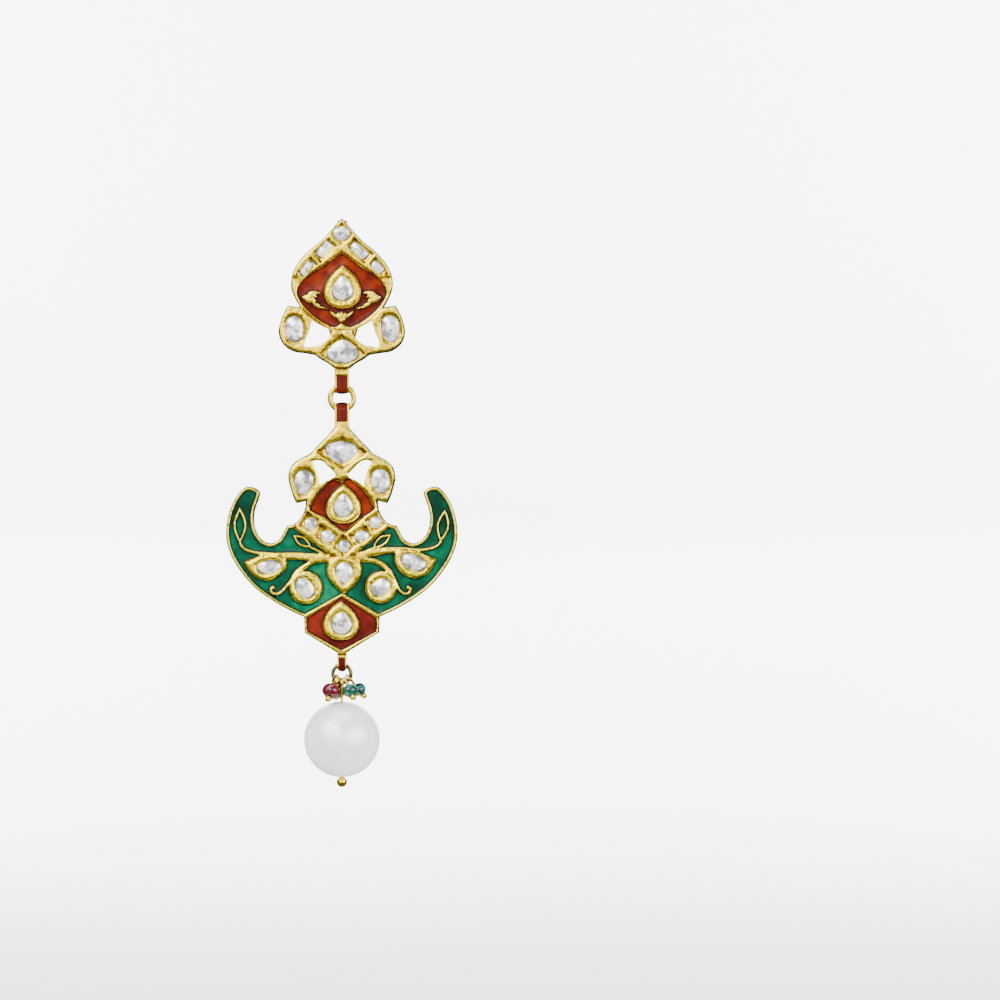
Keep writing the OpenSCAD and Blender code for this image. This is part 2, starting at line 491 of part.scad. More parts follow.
// Raised gold of the pendant: the top, the lobes, the band of five stones and the collars
module pend_raised() {
    difference() {
        intersection() {
            offset(delta = -edge_in) pend_outline();
            translate([0, pend_point(0, -28.1)[1]]) square(pend_top, center = true);
        }
        offset(delta = panel_out) polygon(curve(pend_panel));
    }
    intersection() {
        offset(delta = -edge_in) pend_outline();
        offset(delta = -0.1) polygon(curve(chevron));
    }
}
module pend_collar_drawing() {
    for (c = pend_collars) polygon(pend_shape(c, 28));
    for (c = leaf_collars) polygon(curve(c));
}

// Cells of the back. grow widens each cell by a gold line, for the ground round it.
module cell_leaf(p, q, row, grow) {
    d = unit(q - p) * grow;
    polygon(leaf(p - d, q + d, row[4] + 2 * grow, row[5]));
}
module cell_drop(p, q, row, grow) {
    d = unit(p - q) * grow;
    polygon(drop(p + d * 2, q - d, row[4] + 2 * grow));
}
module pend_leaf(row, grow) {
    cell_leaf(pend_point(row[0], row[1]), pend_point(row[2], row[3]), row, grow);
}
module pend_drop(row, grow) {
    cell_drop(pend_point(row[0], row[1]), pend_point(row[2], row[3]), row, grow);
}
module stud_leaf(row, grow) {
    cell_leaf(stud_point(row[0], row[1]), stud_point(row[2], row[3]), row, grow);
}
module stud_drop(row, grow) {
    cell_drop(stud_point(row[0], row[1]), stud_point(row[2], row[3]), row, grow);
}
module each_side() {
    children();
    mirror([1, 0]) children();
}
module pend_red_cells(grow = 0) {
    each_side() {
        for (r = red_drops) pend_drop(r, grow);
        for (r = red_petals) pend_leaf(r, grow);
        offset(delta = grow) polygon(curve(lobe_bud, 2));
    }
    for (r = red_middle_drops) pend_drop(r, grow);
    offset(delta = grow) polygon(curve(both_halves(red_bud_half), 2));
    offset(delta = grow) polygon(curve(both_halves(red_fan_half), 2));
}
module pend_green_cells(grow = 0) {
    each_side() for (r = green_leaves) pend_leaf(r, grow);
    pend_leaf(green_middle_leaf, grow);
}
module pend_blue_cells(grow = 0) {
    pend_drop(blue_middle_drop, grow);
    each_side() pend_drop(blue_side_drop, grow);
}
// The field inside the border, taken in by a distance
module pend_field(inset) {
    offset(delta = -inset) intersection() {
        pend_outline();
        polygon(curve(both_halves(arch_half)));
    }
}
// Gold edge outside the blue border, and how far in the border reaches
edge_w = 0.26;
border_in = 0.62;
module pend_border() {
    difference() {
        pend_field(edge_w);
        pend_field(border_in);
    }
}
module pend_white_cells() {
    difference() {
        pend_field(border_in + line_w);
        pend_red_cells(line_w);
        pend_green_cells(line_w);
        pend_blue_cells(line_w);
    }
    difference() {
        intersection() {
            offset(delta = -edge_w) pend_outline();
            translate([0, pend_point(0, -28.4)[1]]) square([17, 10.4], center = true);
        }
        offset(delta = edge_w) pend_gaps();
        offset(delta = line_w) intersection() {
            pend_outline();
            polygon(curve(both_halves(arch_half)));
        }
        pend_red_cells(line_w);
        pend_green_cells(line_w);
    }
}

// Flat drawings of the stud's back
module medallion() { polygon(curve(both_halves(medallion_half))); }
module stud_red_cells(grow = 0) {
    each_side() {
        for (r = stud_red_drops) stud_drop(r, grow);
        offset(delta = grow) polygon(curve(stud_red_cell, 2));
    }
    for (r = stud_red_middle_drops) stud_drop(r, grow);
    offset(delta = grow) polygon(curve(both_halves(stud_low_red_half), 2));
}
module stud_green_cells(grow = 0) {
    each_side() for (r = stud_green_leaves) stud_leaf(r, grow);
    stud_leaf(stud_green_middle_leaf, grow);
}
stud_edge_w = 0.3;
stud_border_in = 0.72;
module stud_border() {
    difference() {
        offset(delta = -stud_edge_w) medallion();
        offset(delta = -stud_border_in) medallion();
    }
}
module stud_white_cells() {
    difference() {
        union() {
            offset(delta = -stud_border_in - line_w) medallion();
            difference() {
                offset(delta = -stud_edge_w) stud_outline();
                offset(delta = line_w) medallion();
                offset(delta = edge_w) stud_gaps();
            }
        }
        stud_red_cells(line_w);
        stud_green_cells(line_w);
    }
}
// What is soldered to the stud's back, seen from behind
strap_w = 1.8;
lug_at = [1.85, -7.2];
lug_w = 1.2;
lug_r = 1.15;
lug_y = 0.95;
loop_y = 1.05;
loop_z = 5.4 * stud_k;
loop_r = 1.2;
loop_bore = 0.6;
loop_w = 1.4;
module fitting_drawing() {
    circle(1.1);
    translate([0, -2.8]) square([strap_w, 7.6], center = true);
    each_side() translate(lug_at) square([lug_w, 2 * lug_r - 0.7], center = true);
    translate([0, loop_z]) square([loop_w, 2 * loop_r - 0.7], center = true);
}
module clear_of_fittings() {
    difference() {
        children();
        offset(delta = line_w) fitting_drawing();
    }
}

// Solids that both plates use
back_d = 0.3;
sunk = 0.04;
// A plate with its side channel: a full lip behind, a smaller core and the front lip
module plate(y_back, t, end_w, top_z, low_z) {
    slab(y_back, lip) children();
    slab(y_back - t + lip, lip) offset(delta = -front_in) children();
    slab(y_back - lip + gap / 2, t - 2 * lip + gap) {
        offset(delta = -wall_d) children();
        intersection() {
            children();
            ends_drawing(end_w, top_z, low_z);
        }
    }
}
// Where a bail joins a plate's edge and no enamel runs round it
module ends_drawing(w, top_z, low_z) {
    if (top_z != undef) translate([0, top_z]) square([w, 1.6], center = true);
    translate([0, low_z]) square([w, 1.6], center = true);
}
module side_band(y_back, t, end_w, top_z, low_z) {
    slab(y_back - lip, t - 2 * lip) difference() {
        offset(delta = -gap) children();
        offset(delta = gap - wall_d) children();
        offset(delta = gap) ends_drawing(end_w, top_z, low_z);
    }
}
// Enamel in a front pocket and on the back
module front_enamel(face_y) {
    slab(face_y + pocket_d, pocket_d - sunk) offset(delta = -gap) children();
}
module back_enamel(face_y) {
    slab(face_y - sunk, back_d - sunk) offset(delta = -gap) children();
}
// A stone: straight girdle, a crown of eight kites and eight triangles, and a table
module stone(pts, face_y) {
    n = len(pts);
    mid = (pts[0] + pts[n / 2]) / 2;
    girdle = seat_d + rise * 0.35;
    height = seat_d + rise - 0.03;
    points = concat(
        [for (p = pts) [p[0], p[1], 0]],
        [for (p = pts) [p[0], p[1], girdle]],
        [for (i = [0:2:n - 1])
            let(q = mid + (pts[i] - mid) * table)
            [q[0], q[1], height]]);
    half = n / 2;
    faces = concat(
        [[for (i = [n - 1:-1:0]) i]],
        [[for (i = [0:half - 1]) 2 * n + i]],
        [for (i = [0:n - 1]) [i, (i + 1) % n, n + (i + 1) % n, n + i]],
        [for (i = [0:half - 1]) [2 * n + i, n + 2 * i, n + 2 * i + 1]],
        [for (i = [0:half - 1]) [2 * n + i, n + 2 * i + 1, 2 * n + (i + 1) % half]],
        [for (i = [0:half - 1])
            [2 * n + (i + 1) % half, n + 2 * i + 1, n + (2 * i + 2) % n]]);
    color(diamond)
        translate([0, face_y + seat_d, 0]) rotate([90, 0, 0]) polyhedron(points, faces);
}
function shrunk(row) =
    [row[0], row[1], row[2] - 2 * gap, row[3] - 2 * gap, row[4], row[5], row[6]];
module stud_stone(i) { stone(stud_shape(shrunk(stud_seats[i - 1])), stud_front); }
module pendant_stone(i) { stone(pend_shape(shrunk(pend_seats[i - 1])), pend_front); }

// A bail: a flat neck that ends in a round eye, drawn in Y and Z
module bail_drawing(r, z_eye, z_root) {
    translate([mid_y, z_eye]) circle(r);
    translate([mid_y - r, min(z_eye, z_root)]) square([2 * r, abs(z_eye - z_root)]);
}
bail_band_w = 1.5;
low_band_w = 0.85;
tab_w = 1.4;
loop_band_w = 1.0;
lug_band_w = 0.8;
band_d = 0.16;
// The strip of a bail's outline that takes enamel: down its front and round its eye.
// outer says how far the strip's own surface lies inside the bail's.
module bail_band_drawing(r, z_eye, z_root, z_low, z_high, outer) {
    way = z_eye > z_root ? 1 : -1;
    intersection() {
        difference() {
            bail_drawing(r - outer, z_eye, z_root);
            bail_drawing(r - band_d, z_eye, z_root);
        }
        union() {
            translate([mid_y - 3, z_low]) square([3, z_high - z_low]);
            translate([mid_y - cut, z_eye + way * (r / 2 + 0.3)]) square([3, r], center = true);
        }
    }
}

module stud_seat_drawing() { for (s = stud_seats) polygon(stud_shape(s)); }
module pend_seat_drawing() { for (s = pend_seats) polygon(pend_shape(s)); }
module stud_hollow_drawing() {
    offset(delta = stud_hollow_out) for (h = stud_hollows) polygon(stud_at(h));
    for (i = stud_lobe_seats) offset(delta = lobe_hollow) polygon(stud_shape(stud_seats[i]));
}
module pend_hollow_drawing() {
    offset(delta = pend_hollow_out) for (h = pend_hollows) polygon(pend_at(h));
    for (i = pend_lobe_seats) offset(delta = lobe_hollow) polygon(pend_shape(pend_seats[i]));
}
// Raised gold round a stone, stepped on its outer side and round the seat
step_w = 0.22;
step_h = 0.15;
module collar(face_y) {
    slab(face_y + gap, rise - step_h + gap) children();
    slab(face_y + gap, rise + gap) offset(delta = -step_w) children();
}

// Ear fitting, in the stud's frame
post_notch = 0.09;
module ear_post() {
    rotate([-90, 0, 0]) rotate_extrude() polygon([
        [0, -0.6], [post_r, -0.6], [post_r, post_l - 1.7], [post_r - post_notch, post_l - 1.55],
        [post_r - post_notch, post_l - 1.15], [post_r, post_l - 1.0], [post_r, post_l - 0.25],
        [post_r - 0.25, post_l], [0, post_l]]);
    rotate([-90, 0, 0]) cylinder(h = 0.9, r = 1.05);
}
// Side view of the strap between the post and the omega clip's hinge: y, z, thickness
strap_line = [
    [0.25, 0.9, 0.6], [0.25, -2.2, 0.6], [0.5, -4.8, 0.6], [1.5, -7.7, 0.6], [3.1, -9.9, 0.6],
    [4.95, -11.35, 0.6]];
// Block and bar that join the strap's end to the hinge barrels
block_w = 3.0;
block_l = 2.3;
block_h = 1.2;
barrel_r = 0.62;
barrel_bore = omega_wire_r + 0.06;
barrel_x = [1.7, 4.1];
bar_w = 5.4;
bar_l = 0.85;
bar_h = 0.9;
module fitting() {
    ear_post();
    across(strap_w) polygon(ribbon(strap_line, 3));
    across(block_w) translate([hinge_y - 4.3, hinge_z + 0.9]) square([block_l, block_h]);
    across(bar_w) translate([hinge_y - 1.45, hinge_z - 0.4]) square([bar_l, bar_h]);
    for (side = [-1, 1]) {
        translate([0, hinge_y, hinge_z]) rotate([0, 90, 0])
            translate([0, 0, side * (barrel_x[0] + barrel_x[1]) / 2])
                cylinder(h = barrel_x[1] - barrel_x[0], r = barrel_r, center = true);
        across(lug_w, side * lug_at[0]) translate([lug_y, lug_at[1]]) circle(lug_r);
    }
    across(loop_w) translate([loop_y, loop_z]) circle(loop_r);
}
lug_bore = 0.5;
module fitting_holes() {
    translate([0, hinge_y, hinge_z]) rotate([0, 90, 0])
        cylinder(h = 2 * barrel_x[1] + 1, r = barrel_bore, center = true);
    across(2 * lug_at[0] + lug_w + 1) translate([lug_y, lug_at[1]]) circle(lug_bore);
    across(loop_w + 1) translate([loop_y, loop_z]) circle(loop_bore);
    across(loop_band_w) loop_band_drawing(-cut);
    for (side = [-1, 1]) across(lug_band_w, side * lug_at[0]) lug_band_drawing(-cut);
}
// Strips of the back loops' outlines that take enamel
module loop_band_drawing(outer) {
    intersection() {
        difference() {
            translate([loop_y, loop_z]) circle(loop_r - outer);
            translate([loop_y, loop_z]) circle(loop_r - band_d);
        }
        translate([0.3, loop_z - 0.6]) square([3, 3]);
    }
}
module lug_band_drawing(outer) {
    intersection() {
        difference() {
            translate([lug_y, lug_at[1]]) circle(lug_r - outer);
            translate([lug_y, lug_at[1]]) circle(lug_r - band_d);
        }
        translate([lug_y + 0.3, lug_at[1] - 1]) square([3, 2]);
    }
}
// Enamelled tab on the flat back of a bail
module bail_tab(w, r, z_low, z_high, outer, side_gap) {
    slab(mid_y + r - outer, band_d - outer)
        translate([0, (z_low + z_high) / 2])
            square([w - 2 * side_gap, z_high - z_low - 2 * side_gap], center = true);
}

// Roots of the bails, where they join the plates
stud_root = stud_point(0, -13.9)[1];
pend_root = pend_point(0, -22.9)[1];
low_root = pend_point(0, -53.4)[1];
stud_end = stud_point(0, -14.2)[1];
pend_top_end = pend_point(0, -22.2)[1];
pend_low_end = pend_point(0, -53.9)[1];
stud_band_z = stud_point(0, -15.2)[1];
pend_band_z = pend_point(0, -21.7)[1];
low_band_z = pend_point(0, -54.7)[1];

module stud_tab(outer, side_gap) {
    bail_tab(tab_w, bail_r, bail_z + 0.7, stud_band_z + 0.7, outer, side_gap);
}
module pend_tabs(outer, side_gap) {
    bail_tab(tab_w, bail_r, pend_band_z, pend_z - 0.2, outer, side_gap);
    bail_tab(low_band_w, low_bail_r, low_bail_z - 0.1, low_band_z + 0.3, outer, side_gap);
}

module stud_frame() {
    color(gold) difference() {
        union() {
            plate(0, stud_t, bail_w, undef, stud_end) stud_outline();
            slab(stud_front + gap, rise + gap) stud_raised();
            collar(stud_front) polygon(stud_shape(stud_collars[0], 28));
            slab(stud_front + gap, rise / 2 + gap) {
                polygon(curve(crown, 2));
                polygon(curve(mirrored(crown), 2));
                polygon(curve(both_halves(low_crown_half), 2));
            }
            across(bail_w) bail_drawing(bail_r, bail_z, stud_root);
            fitting();
        }
        slab(1, stud_t + 3) stud_gaps();
        slab(stud_front + pocket_d, pocket_d + 1) stud_panel();
        slab(stud_front + seat_d, seat_d + 1) stud_seat_drawing();
        slab(stud_front - rise + hollow_d, 1) stud_hollow_drawing();
        slab(stud_front - rise + step_h, 1) offset(delta = step_h) stud_seat_drawing();
        slab(cut, back_d + cut) clear_of_fittings() {
            stud_white_cells();
            stud_border();
            stud_red_cells();
            stud_green_cells();
        }
        across(bail_w + 1) translate([mid_y, bail_z]) circle(bail_bore);
        across(bail_band_w)
            bail_band_drawing(bail_r, bail_z, stud_root, bail_z - 3, stud_band_z, -cut);
        stud_tab(-cut, 0);
        fitting_holes();
    }
}
module pendant_frame() {
    color(gold) difference() {
        union() {
            plate(pend_back, pend_t, bail_w, pend_top_end, pend_low_end) pend_outline();
            slab(pend_front + gap, rise + gap) pend_raised();
            collar(pend_front) pend_collar_drawing();
            slab(pend_front + gap, rise / 2 + gap) intersection() {
                stem_drawing();
                offset(delta = -edge_in) pend_outline();
            }
            across(bail_w) bail_drawing(bail_r, pend_z, pend_root);
            across(low_bail_w) bail_drawing(low_bail_r, low_bail_z, low_root);
        }
        slab(2, pend_t + 3) pend_gaps();
        slab(pend_front + pocket_d, pocket_d + 1) {
            pend_panel_cell();
            low_panel_cell();
            green_cells();
        }
        slab(pend_front + seat_d, seat_d + 1) pend_seat_drawing();
        slab(pend_front - rise + hollow_d, 1) pend_hollow_drawing();
        slab(pend_front - rise + step_h, 1) offset(delta = step_h) pend_seat_drawing();
        slab(pend_back + cut, back_d + cut) {
            pend_white_cells();
            pend_border();
            pend_red_cells();
            pend_green_cells();
            pend_blue_cells();
        }
        across(bail_w + 1) translate([mid_y, pend_z]) circle(bail_bore);
        across(low_bail_w + 1) translate([mid_y, low_bail_z]) circle(low_bail_bore);
        across(bail_band_w)
            bail_band_drawing(bail_r, pend_z, pend_root, pend_band_z, pend_z + 3, -cut);
        across(low_band_w)
            bail_band_drawing(low_bail_r, low_bail_z, low_root, low_bail_z - 3, low_band_z, -cut);
        pend_tabs(-cut, 0);
    }
}

module stud_side_enamel() {
    color(green) side_band(0, stud_t, bail_w, undef, stud_end) stud_outline();
}
module pendant_side_enamel() {
    color(green)
        side_band(pend_back, pend_t, bail_w, pend_top_end, pend_low_end) pend_outline();
}
module stud_red_panel() { color(red) front_enamel(stud_front) stud_panel(); }
module pendant_red_panel() { color(red) front_enamel(pend_front) pend_panel_cell(); }
module pendant_low_red_panel() { color(red) front_enamel(pend_front) low_panel_cell(); }
module pendant_green_panels() { color(green) front_enamel(pend_front) green_cells(); }

module stud_back_white() { color(white) back_enamel(0) clear_of_fittings() stud_white_cells(); }
module stud_back_red() { color(red) back_enamel(0) clear_of_fittings() stud_red_cells(); }
module stud_back_green() {
    color(leaf_green) back_enamel(0) clear_of_fittings() stud_green_cells();
}
module stud_back_blue() { color(blue) back_enamel(0) clear_of_fittings() stud_border(); }
module pendant_back_white() { color(white) back_enamel(pend_back) pend_white_cells(); }
module pendant_back_red() { color(red) back_enamel(pend_back) pend_red_cells(); }
module pendant_back_green() { color(leaf_green) back_enamel(pend_back) pend_green_cells(); }
module pendant_back_blue() {
    color(blue) back_enamel(pend_back) {
        pend_border();
        pend_blue_cells();
    }
}

module stud_loop_red() {
    color(red) {
        across(bail_band_w - 2 * gap)
            bail_band_drawing(bail_r, bail_z, stud_root, bail_z - 3, stud_band_z - gap, gap);
        across(loop_band_w - 2 * gap) loop_band_drawing(gap);
    }
}
module stud_loop_blue() {
    color(blue) {
        stud_tab(gap, gap);
        for (side = [-1, 1])
            across(lug_band_w - 2 * gap, side * lug_at[0]) lug_band_drawing(gap);
    }
}
module pendant_loop_red() {
    color(red) {
        across(bail_band_w - 2 * gap)
            bail_band_drawing(bail_r, pend_z, pend_root, pend_band_z + gap, pend_z + 3, gap);
        across(low_band_w - 2 * gap) bail_band_drawing(low_bail_r, low_bail_z, low_root,
            low_bail_z - 3, low_band_z - gap, gap);
    }
}
module pendant_loop_blue() {
    color(blue) pend_tabs(gap, gap);
}

// Rings, pins, pearl and beads
module round_ring(r, wire, at_z) {
    translate([0, mid_y, at_z]) rotate([90, 0, 0]) rotate_extrude() translate([r, 0]) circle(wire);
}
module upper_ring() { color(gold) round_ring(ring_r, ring_wire, ring_z); }
module lower_ring() { color(dark_gold) round_ring(low_ring_r, low_wire, low_ring_z); }

// Where a pin's eye sits on the lower ring, by its angle from the ring's lowest point
function on_ring(a, out = 0) =
    [(low_ring_r + out) * sin(a), mid_y, low_ring_z - (low_ring_r + out) * cos(a)];
eye_gap = 0.07;
pearl_eye_r = low_wire + eye_gap + pin_wire;
bead_eye_r = 0.6;
// A pin's shaft is drawn a little thinner than its eye
shaft_k = 0.8;
// Bare shaft between the pin's eye and the pearl
shaft_l = 2.1;
pearl_z = on_ring(0, pearl_eye_r)[2] - shaft_l - pearl_r;
ball_z = pearl_z - pearl_r - ball_r;
module pearl() {
    color([0.92, 0.90, 0.84]) difference() {
        translate([0, mid_y, pearl_z]) sphere(pearl_r);
        translate([0, mid_y, pearl_z]) cylinder(h = 3 * pearl_r, r = pin_wire, center = true);
    }
}
module pearl_pin() {
    color(dark_gold) {
        pin_eye(0, pearl_eye_r, pin_wire);
        translate([0, mid_y, ball_z])
            cylinder(h = on_ring(0, pearl_eye_r)[2] - ball_z, r = pin_wire * shaft_k);
        translate([0, mid_y, ball_z]) sphere(ball_r);
    }
}
module pin_eye(a, r, wire) {
    translate(on_ring(a)) rotate([0, -a, 0]) rotate([0, 90, 0])
        rotate_extrude() translate([r, 0]) circle(wire);
}

// A bent wire of radius r. The path never runs along the direction ref
module bent_wire(path, r, ref, k = 10) {
    n = len(path);
    points = [for (j = [0:n - 1])
        let(way = unit(path[min(j + 1, n - 1)] - path[max(j - 1, 0)]),
            u = unit(cross(way, ref)), v = cross(way, u))
        for (i = [0:k - 1]) path[j] + r * (cos(360 * i / k) * u + sin(360 * i / k) * v)];
    faces = concat(
        [[for (i = [0:k - 1]) i]],
        [[for (i = [k - 1:-1:0]) (n - 1) * k + i]],
        [for (j = [0:n - 2], i = [0:k - 1]) [j * k + i, (j + 1) * k + i, (j + 1) * k + (i + 1) % k]],
        [for (j = [0:n - 2], i = [0:k - 1])
            [j * k + i, (j + 1) * k + (i + 1) % k, j * k + (i + 1) % k]]);
    polyhedron(points, faces);
}

// Small beads: ring angle, x, y from the middle plane, z below the pearl pin's eye, radius
beads = [
    [-52, -1.5, -1.15, 0.6, ruby_r],
    [-28, -0.8, 1.5, 0.65, ruby_r],
    [30, 1.2, -1.1, 0.6, emerald_r],
    [58, 2.3, 0.9, 0.45, emerald_r]];
bead_flat = 0.76;
tip_r = 0.42;
function bead_at(b) = [b[1], mid_y + b[2], on_ring(0, pearl_eye_r)[2] - b[3]];
function pin_way(b) = unit(bead_at(b) - on_ring(b[0]));
module along(from, way) {
    translate(from) rotate([0, acos(way[2]), atan2(way[1], way[0])]) children();
}
// A rounded bead with a bore: a closed profile turned about the pin
bead_end = 74;
function bead_profile(r, n = 10) =
    [for (i = [0:n])
        let(a = bead_end * (2 * i / n - 1))
        [r * pow(cos(a), 0.8), r * bead_flat * sin(a) / sin(bead_end)]];
module bead(b) {
    bore = bead_wire + 2 * gap;
    along(bead_at(b), pin_way(b)) rotate_extrude() polygon(concat(
        [[bore, -b[4] * bead_flat]], bead_profile(b[4]), [[bore, b[4] * bead_flat]]));
}
// A bead's pin is one bent wire: an eye round the ring, a bend and a shaft, all in one plane.
// Its points are given along the shaft and across it, in eye radii
pin_eye_bend = concat(
    [for (a = [25:29:315]) [cos(a), sin(a)]],
    [[1.27, -0.14], [1.5, 0]]);
module bead_pin(b) {
    way = pin_way(b);
    ring_way = [cos(b[0]), 0, sin(b[0])];
    normal = unit(ring_way - (ring_way * way) * way);
    across_way = cross(normal, way);
    to_tip = norm(bead_at(b) - on_ring(b[0])) + b[4] * bead_flat + tip_r;
    bent_wire(concat(
        [for (p = pin_eye_bend) on_ring(b[0]) + bead_eye_r * (p[0] * way + p[1] * across_way)],
        [on_ring(b[0]) + to_tip * way]), bead_wire, normal, 8);
    along(bead_at(b), way) translate([0, 0, b[4] * bead_flat + tip_r]) sphere(tip_r);
}
module ruby_front() { color([0.65, 0.05, 0.12]) bead(beads[0]); }
module ruby_rear() { color([0.65, 0.05, 0.12]) bead(beads[1]); }
module emerald_front() { color([0.05, 0.45, 0.25]) bead(beads[2]); }
module emerald_rear() { color([0.05, 0.45, 0.25]) bead(beads[3]); }
module ruby_front_pin() { color(dark_gold) bead_pin(beads[0]); }
module ruby_rear_pin() { color(dark_gold) bead_pin(beads[1]); }
module emerald_front_pin() { color(dark_gold) bead_pin(beads[2]); }
module emerald_rear_pin() { color(dark_gold) bead_pin(beads[3]); }

// Omega clip: a bent wire drawn in its own plane, which leans towards the plate.
// Columns of the legs: x, distance from the hinge
omega_top = 15.7;
omega_lean = 16.65;
omega_end = 3.7;
omega_legs = [[2.65, 6.5], [1.75, 3.3], [1.25, 1.4], [1.25, 0]];
omega_half = concat(
    [for (a = [70:-20:-30])
        [omega_r * cos(a), omega_top - omega_r + omega_r * sin(a)]],
    omega_legs);
omega_path = open_points(concat(
    [for (i = [len(omega_half) - 1:-1:0]) [-omega_half[i][0], omega_half[i][1]]],
    [[0, omega_top]], omega_half), 2);
module omega_clip() {
    color(gold) translate([0, hinge_y, hinge_z]) rotate([omega_lean, 0, 0]) {
        bent_wire([for (p = omega_path) [p[0], 0, p[1]]], omega_wire_r, [0, 1, 0]);
        for (side = [-1, 1]) {
            translate([side * omega_legs[3][0], 0, 0]) sphere(omega_wire_r + 0.02);
            translate([side * (omega_legs[3][0] + omega_end) / 2, 0, 0]) rotate([0, 90, 0])
                cylinder(h = omega_end - omega_legs[3][0], r = omega_wire_r, center = true);
        }
    }
}

// Back nut: a disc with two scrolls that grip the post
disc_t = 0.45;
scroll_r = 1.05;
scroll_w = 3.4;
function scroll_at(side) = [nut_y + disc_t + 0.9, side * (post_r + 0.07 + scroll_r)];
module back_nut() {
    color(gold) difference() {
        union() {
            translate([0, nut_y, 0]) rotate([-90, 0, 0]) cylinder(h = disc_t, r = disc_r);
            for (side = [-1, 1])
                across(scroll_w)
                    translate(scroll_at(side)) circle(scroll_r);
        }
        translate([0, nut_y - 1, 0]) rotate([-90, 0, 0]) cylinder(h = 5, r = post_r + 0.05);
        for (side = [-1, 1])
            across(scroll_w + 1)
                translate(scroll_at(side)) circle(scroll_r * 0.35);
    }
}
module stud_stone_1() { stud_stone(1); }
module stud_stone_2() { stud_stone(2); }
module stud_stone_3() { stud_stone(3); }
module stud_stone_4() { stud_stone(4); }
module stud_stone_5() { stud_stone(5); }
module stud_stone_6() { stud_stone(6); }
module stud_stone_7() { stud_stone(7); }
module stud_stone_8() { stud_stone(8); }
module stud_stone_9() { stud_stone(9); }
module pendant_stone_1() { pendant_stone(1); }
module pendant_stone_2() { pendant_stone(2); }
module pendant_stone_3() { pendant_stone(3); }
module pendant_stone_4() { pendant_stone(4); }
module pendant_stone_5() { pendant_stone(5); }
module pendant_stone_6() { pendant_stone(6); }
module pendant_stone_7() { pendant_stone(7); }
module pendant_stone_8() { pendant_stone(8); }
module pendant_stone_9() { pendant_stone(9); }
module pendant_stone_10() { pendant_stone(10); }
module pendant_stone_11() { pendant_stone(11); }
module pendant_stone_12() { pendant_stone(12); }
module pendant_stone_13() { pendant_stone(13); }
module pendant_stone_14() { pendant_stone(14); }
module pendant_stone_15() { pendant_stone(15); }

stud_frame();
pendant_frame();
stud_side_enamel();
pendant_side_enamel();
stud_red_panel();
pendant_red_panel();
pendant_green_panels();
pendant_low_red_panel();
stud_back_white();
stud_back_red();
stud_back_green();
stud_back_blue();
pendant_back_white();
pendant_back_red();
pendant_back_green();
pendant_back_blue();
stud_loop_red();
stud_loop_blue();
pendant_loop_red();
pendant_loop_blue();
stud_stone_1();
stud_stone_2();
stud_stone_3();
stud_stone_4();
stud_stone_5();
stud_stone_6();
stud_stone_7();
stud_stone_8();
stud_stone_9();
pendant_stone_1();
pendant_stone_2();
pendant_stone_3();
pendant_stone_4();
pendant_stone_5();
pendant_stone_6();
pendant_stone_7();
pendant_stone_8();
pendant_stone_9();
pendant_stone_10();
pendant_stone_11();
pendant_stone_12();
pendant_stone_13();
pendant_stone_14();
pendant_stone_15();
upper_ring();
lower_ring();
pearl();
pearl_pin();
ruby_front();
ruby_rear();
emerald_front();
emerald_rear();
ruby_front_pin();
ruby_rear_pin();
emerald_front_pin();
emerald_rear_pin();
omega_clip();
back_nut();
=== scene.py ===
import math
from collections import namedtuple
import bpy
import bmesh
import numpy as np
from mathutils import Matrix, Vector, kdtree, noise


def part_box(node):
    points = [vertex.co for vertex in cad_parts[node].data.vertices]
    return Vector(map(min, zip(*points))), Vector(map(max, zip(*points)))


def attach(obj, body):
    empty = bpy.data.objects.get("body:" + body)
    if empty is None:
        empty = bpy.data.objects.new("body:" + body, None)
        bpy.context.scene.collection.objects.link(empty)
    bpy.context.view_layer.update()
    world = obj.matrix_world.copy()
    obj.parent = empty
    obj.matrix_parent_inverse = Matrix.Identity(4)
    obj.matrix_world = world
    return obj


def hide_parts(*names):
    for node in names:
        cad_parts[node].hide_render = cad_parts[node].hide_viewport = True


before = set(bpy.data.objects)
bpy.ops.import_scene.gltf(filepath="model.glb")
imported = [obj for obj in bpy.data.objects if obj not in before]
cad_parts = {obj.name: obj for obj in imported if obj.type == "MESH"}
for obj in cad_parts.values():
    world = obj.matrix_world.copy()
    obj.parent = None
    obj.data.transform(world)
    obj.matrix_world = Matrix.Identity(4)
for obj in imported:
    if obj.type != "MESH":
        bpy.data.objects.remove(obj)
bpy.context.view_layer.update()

# Front gold of the stud plate
# Soft pure gold is pressed round the stones and rubbed smooth by hand, so it has no sharp
# edge left. Its colour holds painted highlights on the ribs and painted shade in the hollows
# beside the stones.

# Sizes are in millimetres, with X across, Y to the back and Z up.
# Where the front gold is parted from the back, where its face lies, and the grain of its skin
STUD_CUT = -1.85
STUD_FACE = -2.2
STUD_GRAIN = 0.062
# Rounds of smoothing: of the whole skin, of its ribs, and of the level that a ridge rises from
STUD_SOFTENING = 2
STUD_RUBS = 22
STUD_LEVELLING = 40
# What lies this far in front of the cut is pressed
PRESSED_FROM = 0.15
# Rubbing lowers the ribs. Their height is brought back by this much, and the foil lies on top
RIB_GAIN = 1.3
FOIL = 0.08
# The rubbed skin's hidden side is skimmed off again by this much and closed with large faces
SKIM = 0.015
# Marks of hand work: wave length and depth
HAND_MARKS = [(1.4, 0.045), (0.5, 0.03)]
# Height in metres of a ridge that gets the full painted highlight, and the share of its own place
# that a point keeps in each round of levelling
RIDGE = 0.0001
HOLD = 0.3
# Degrees past which an edge shows as sharp, and the angle for a piece without one
SHARP_FROM = 35
SMOOTH = 180
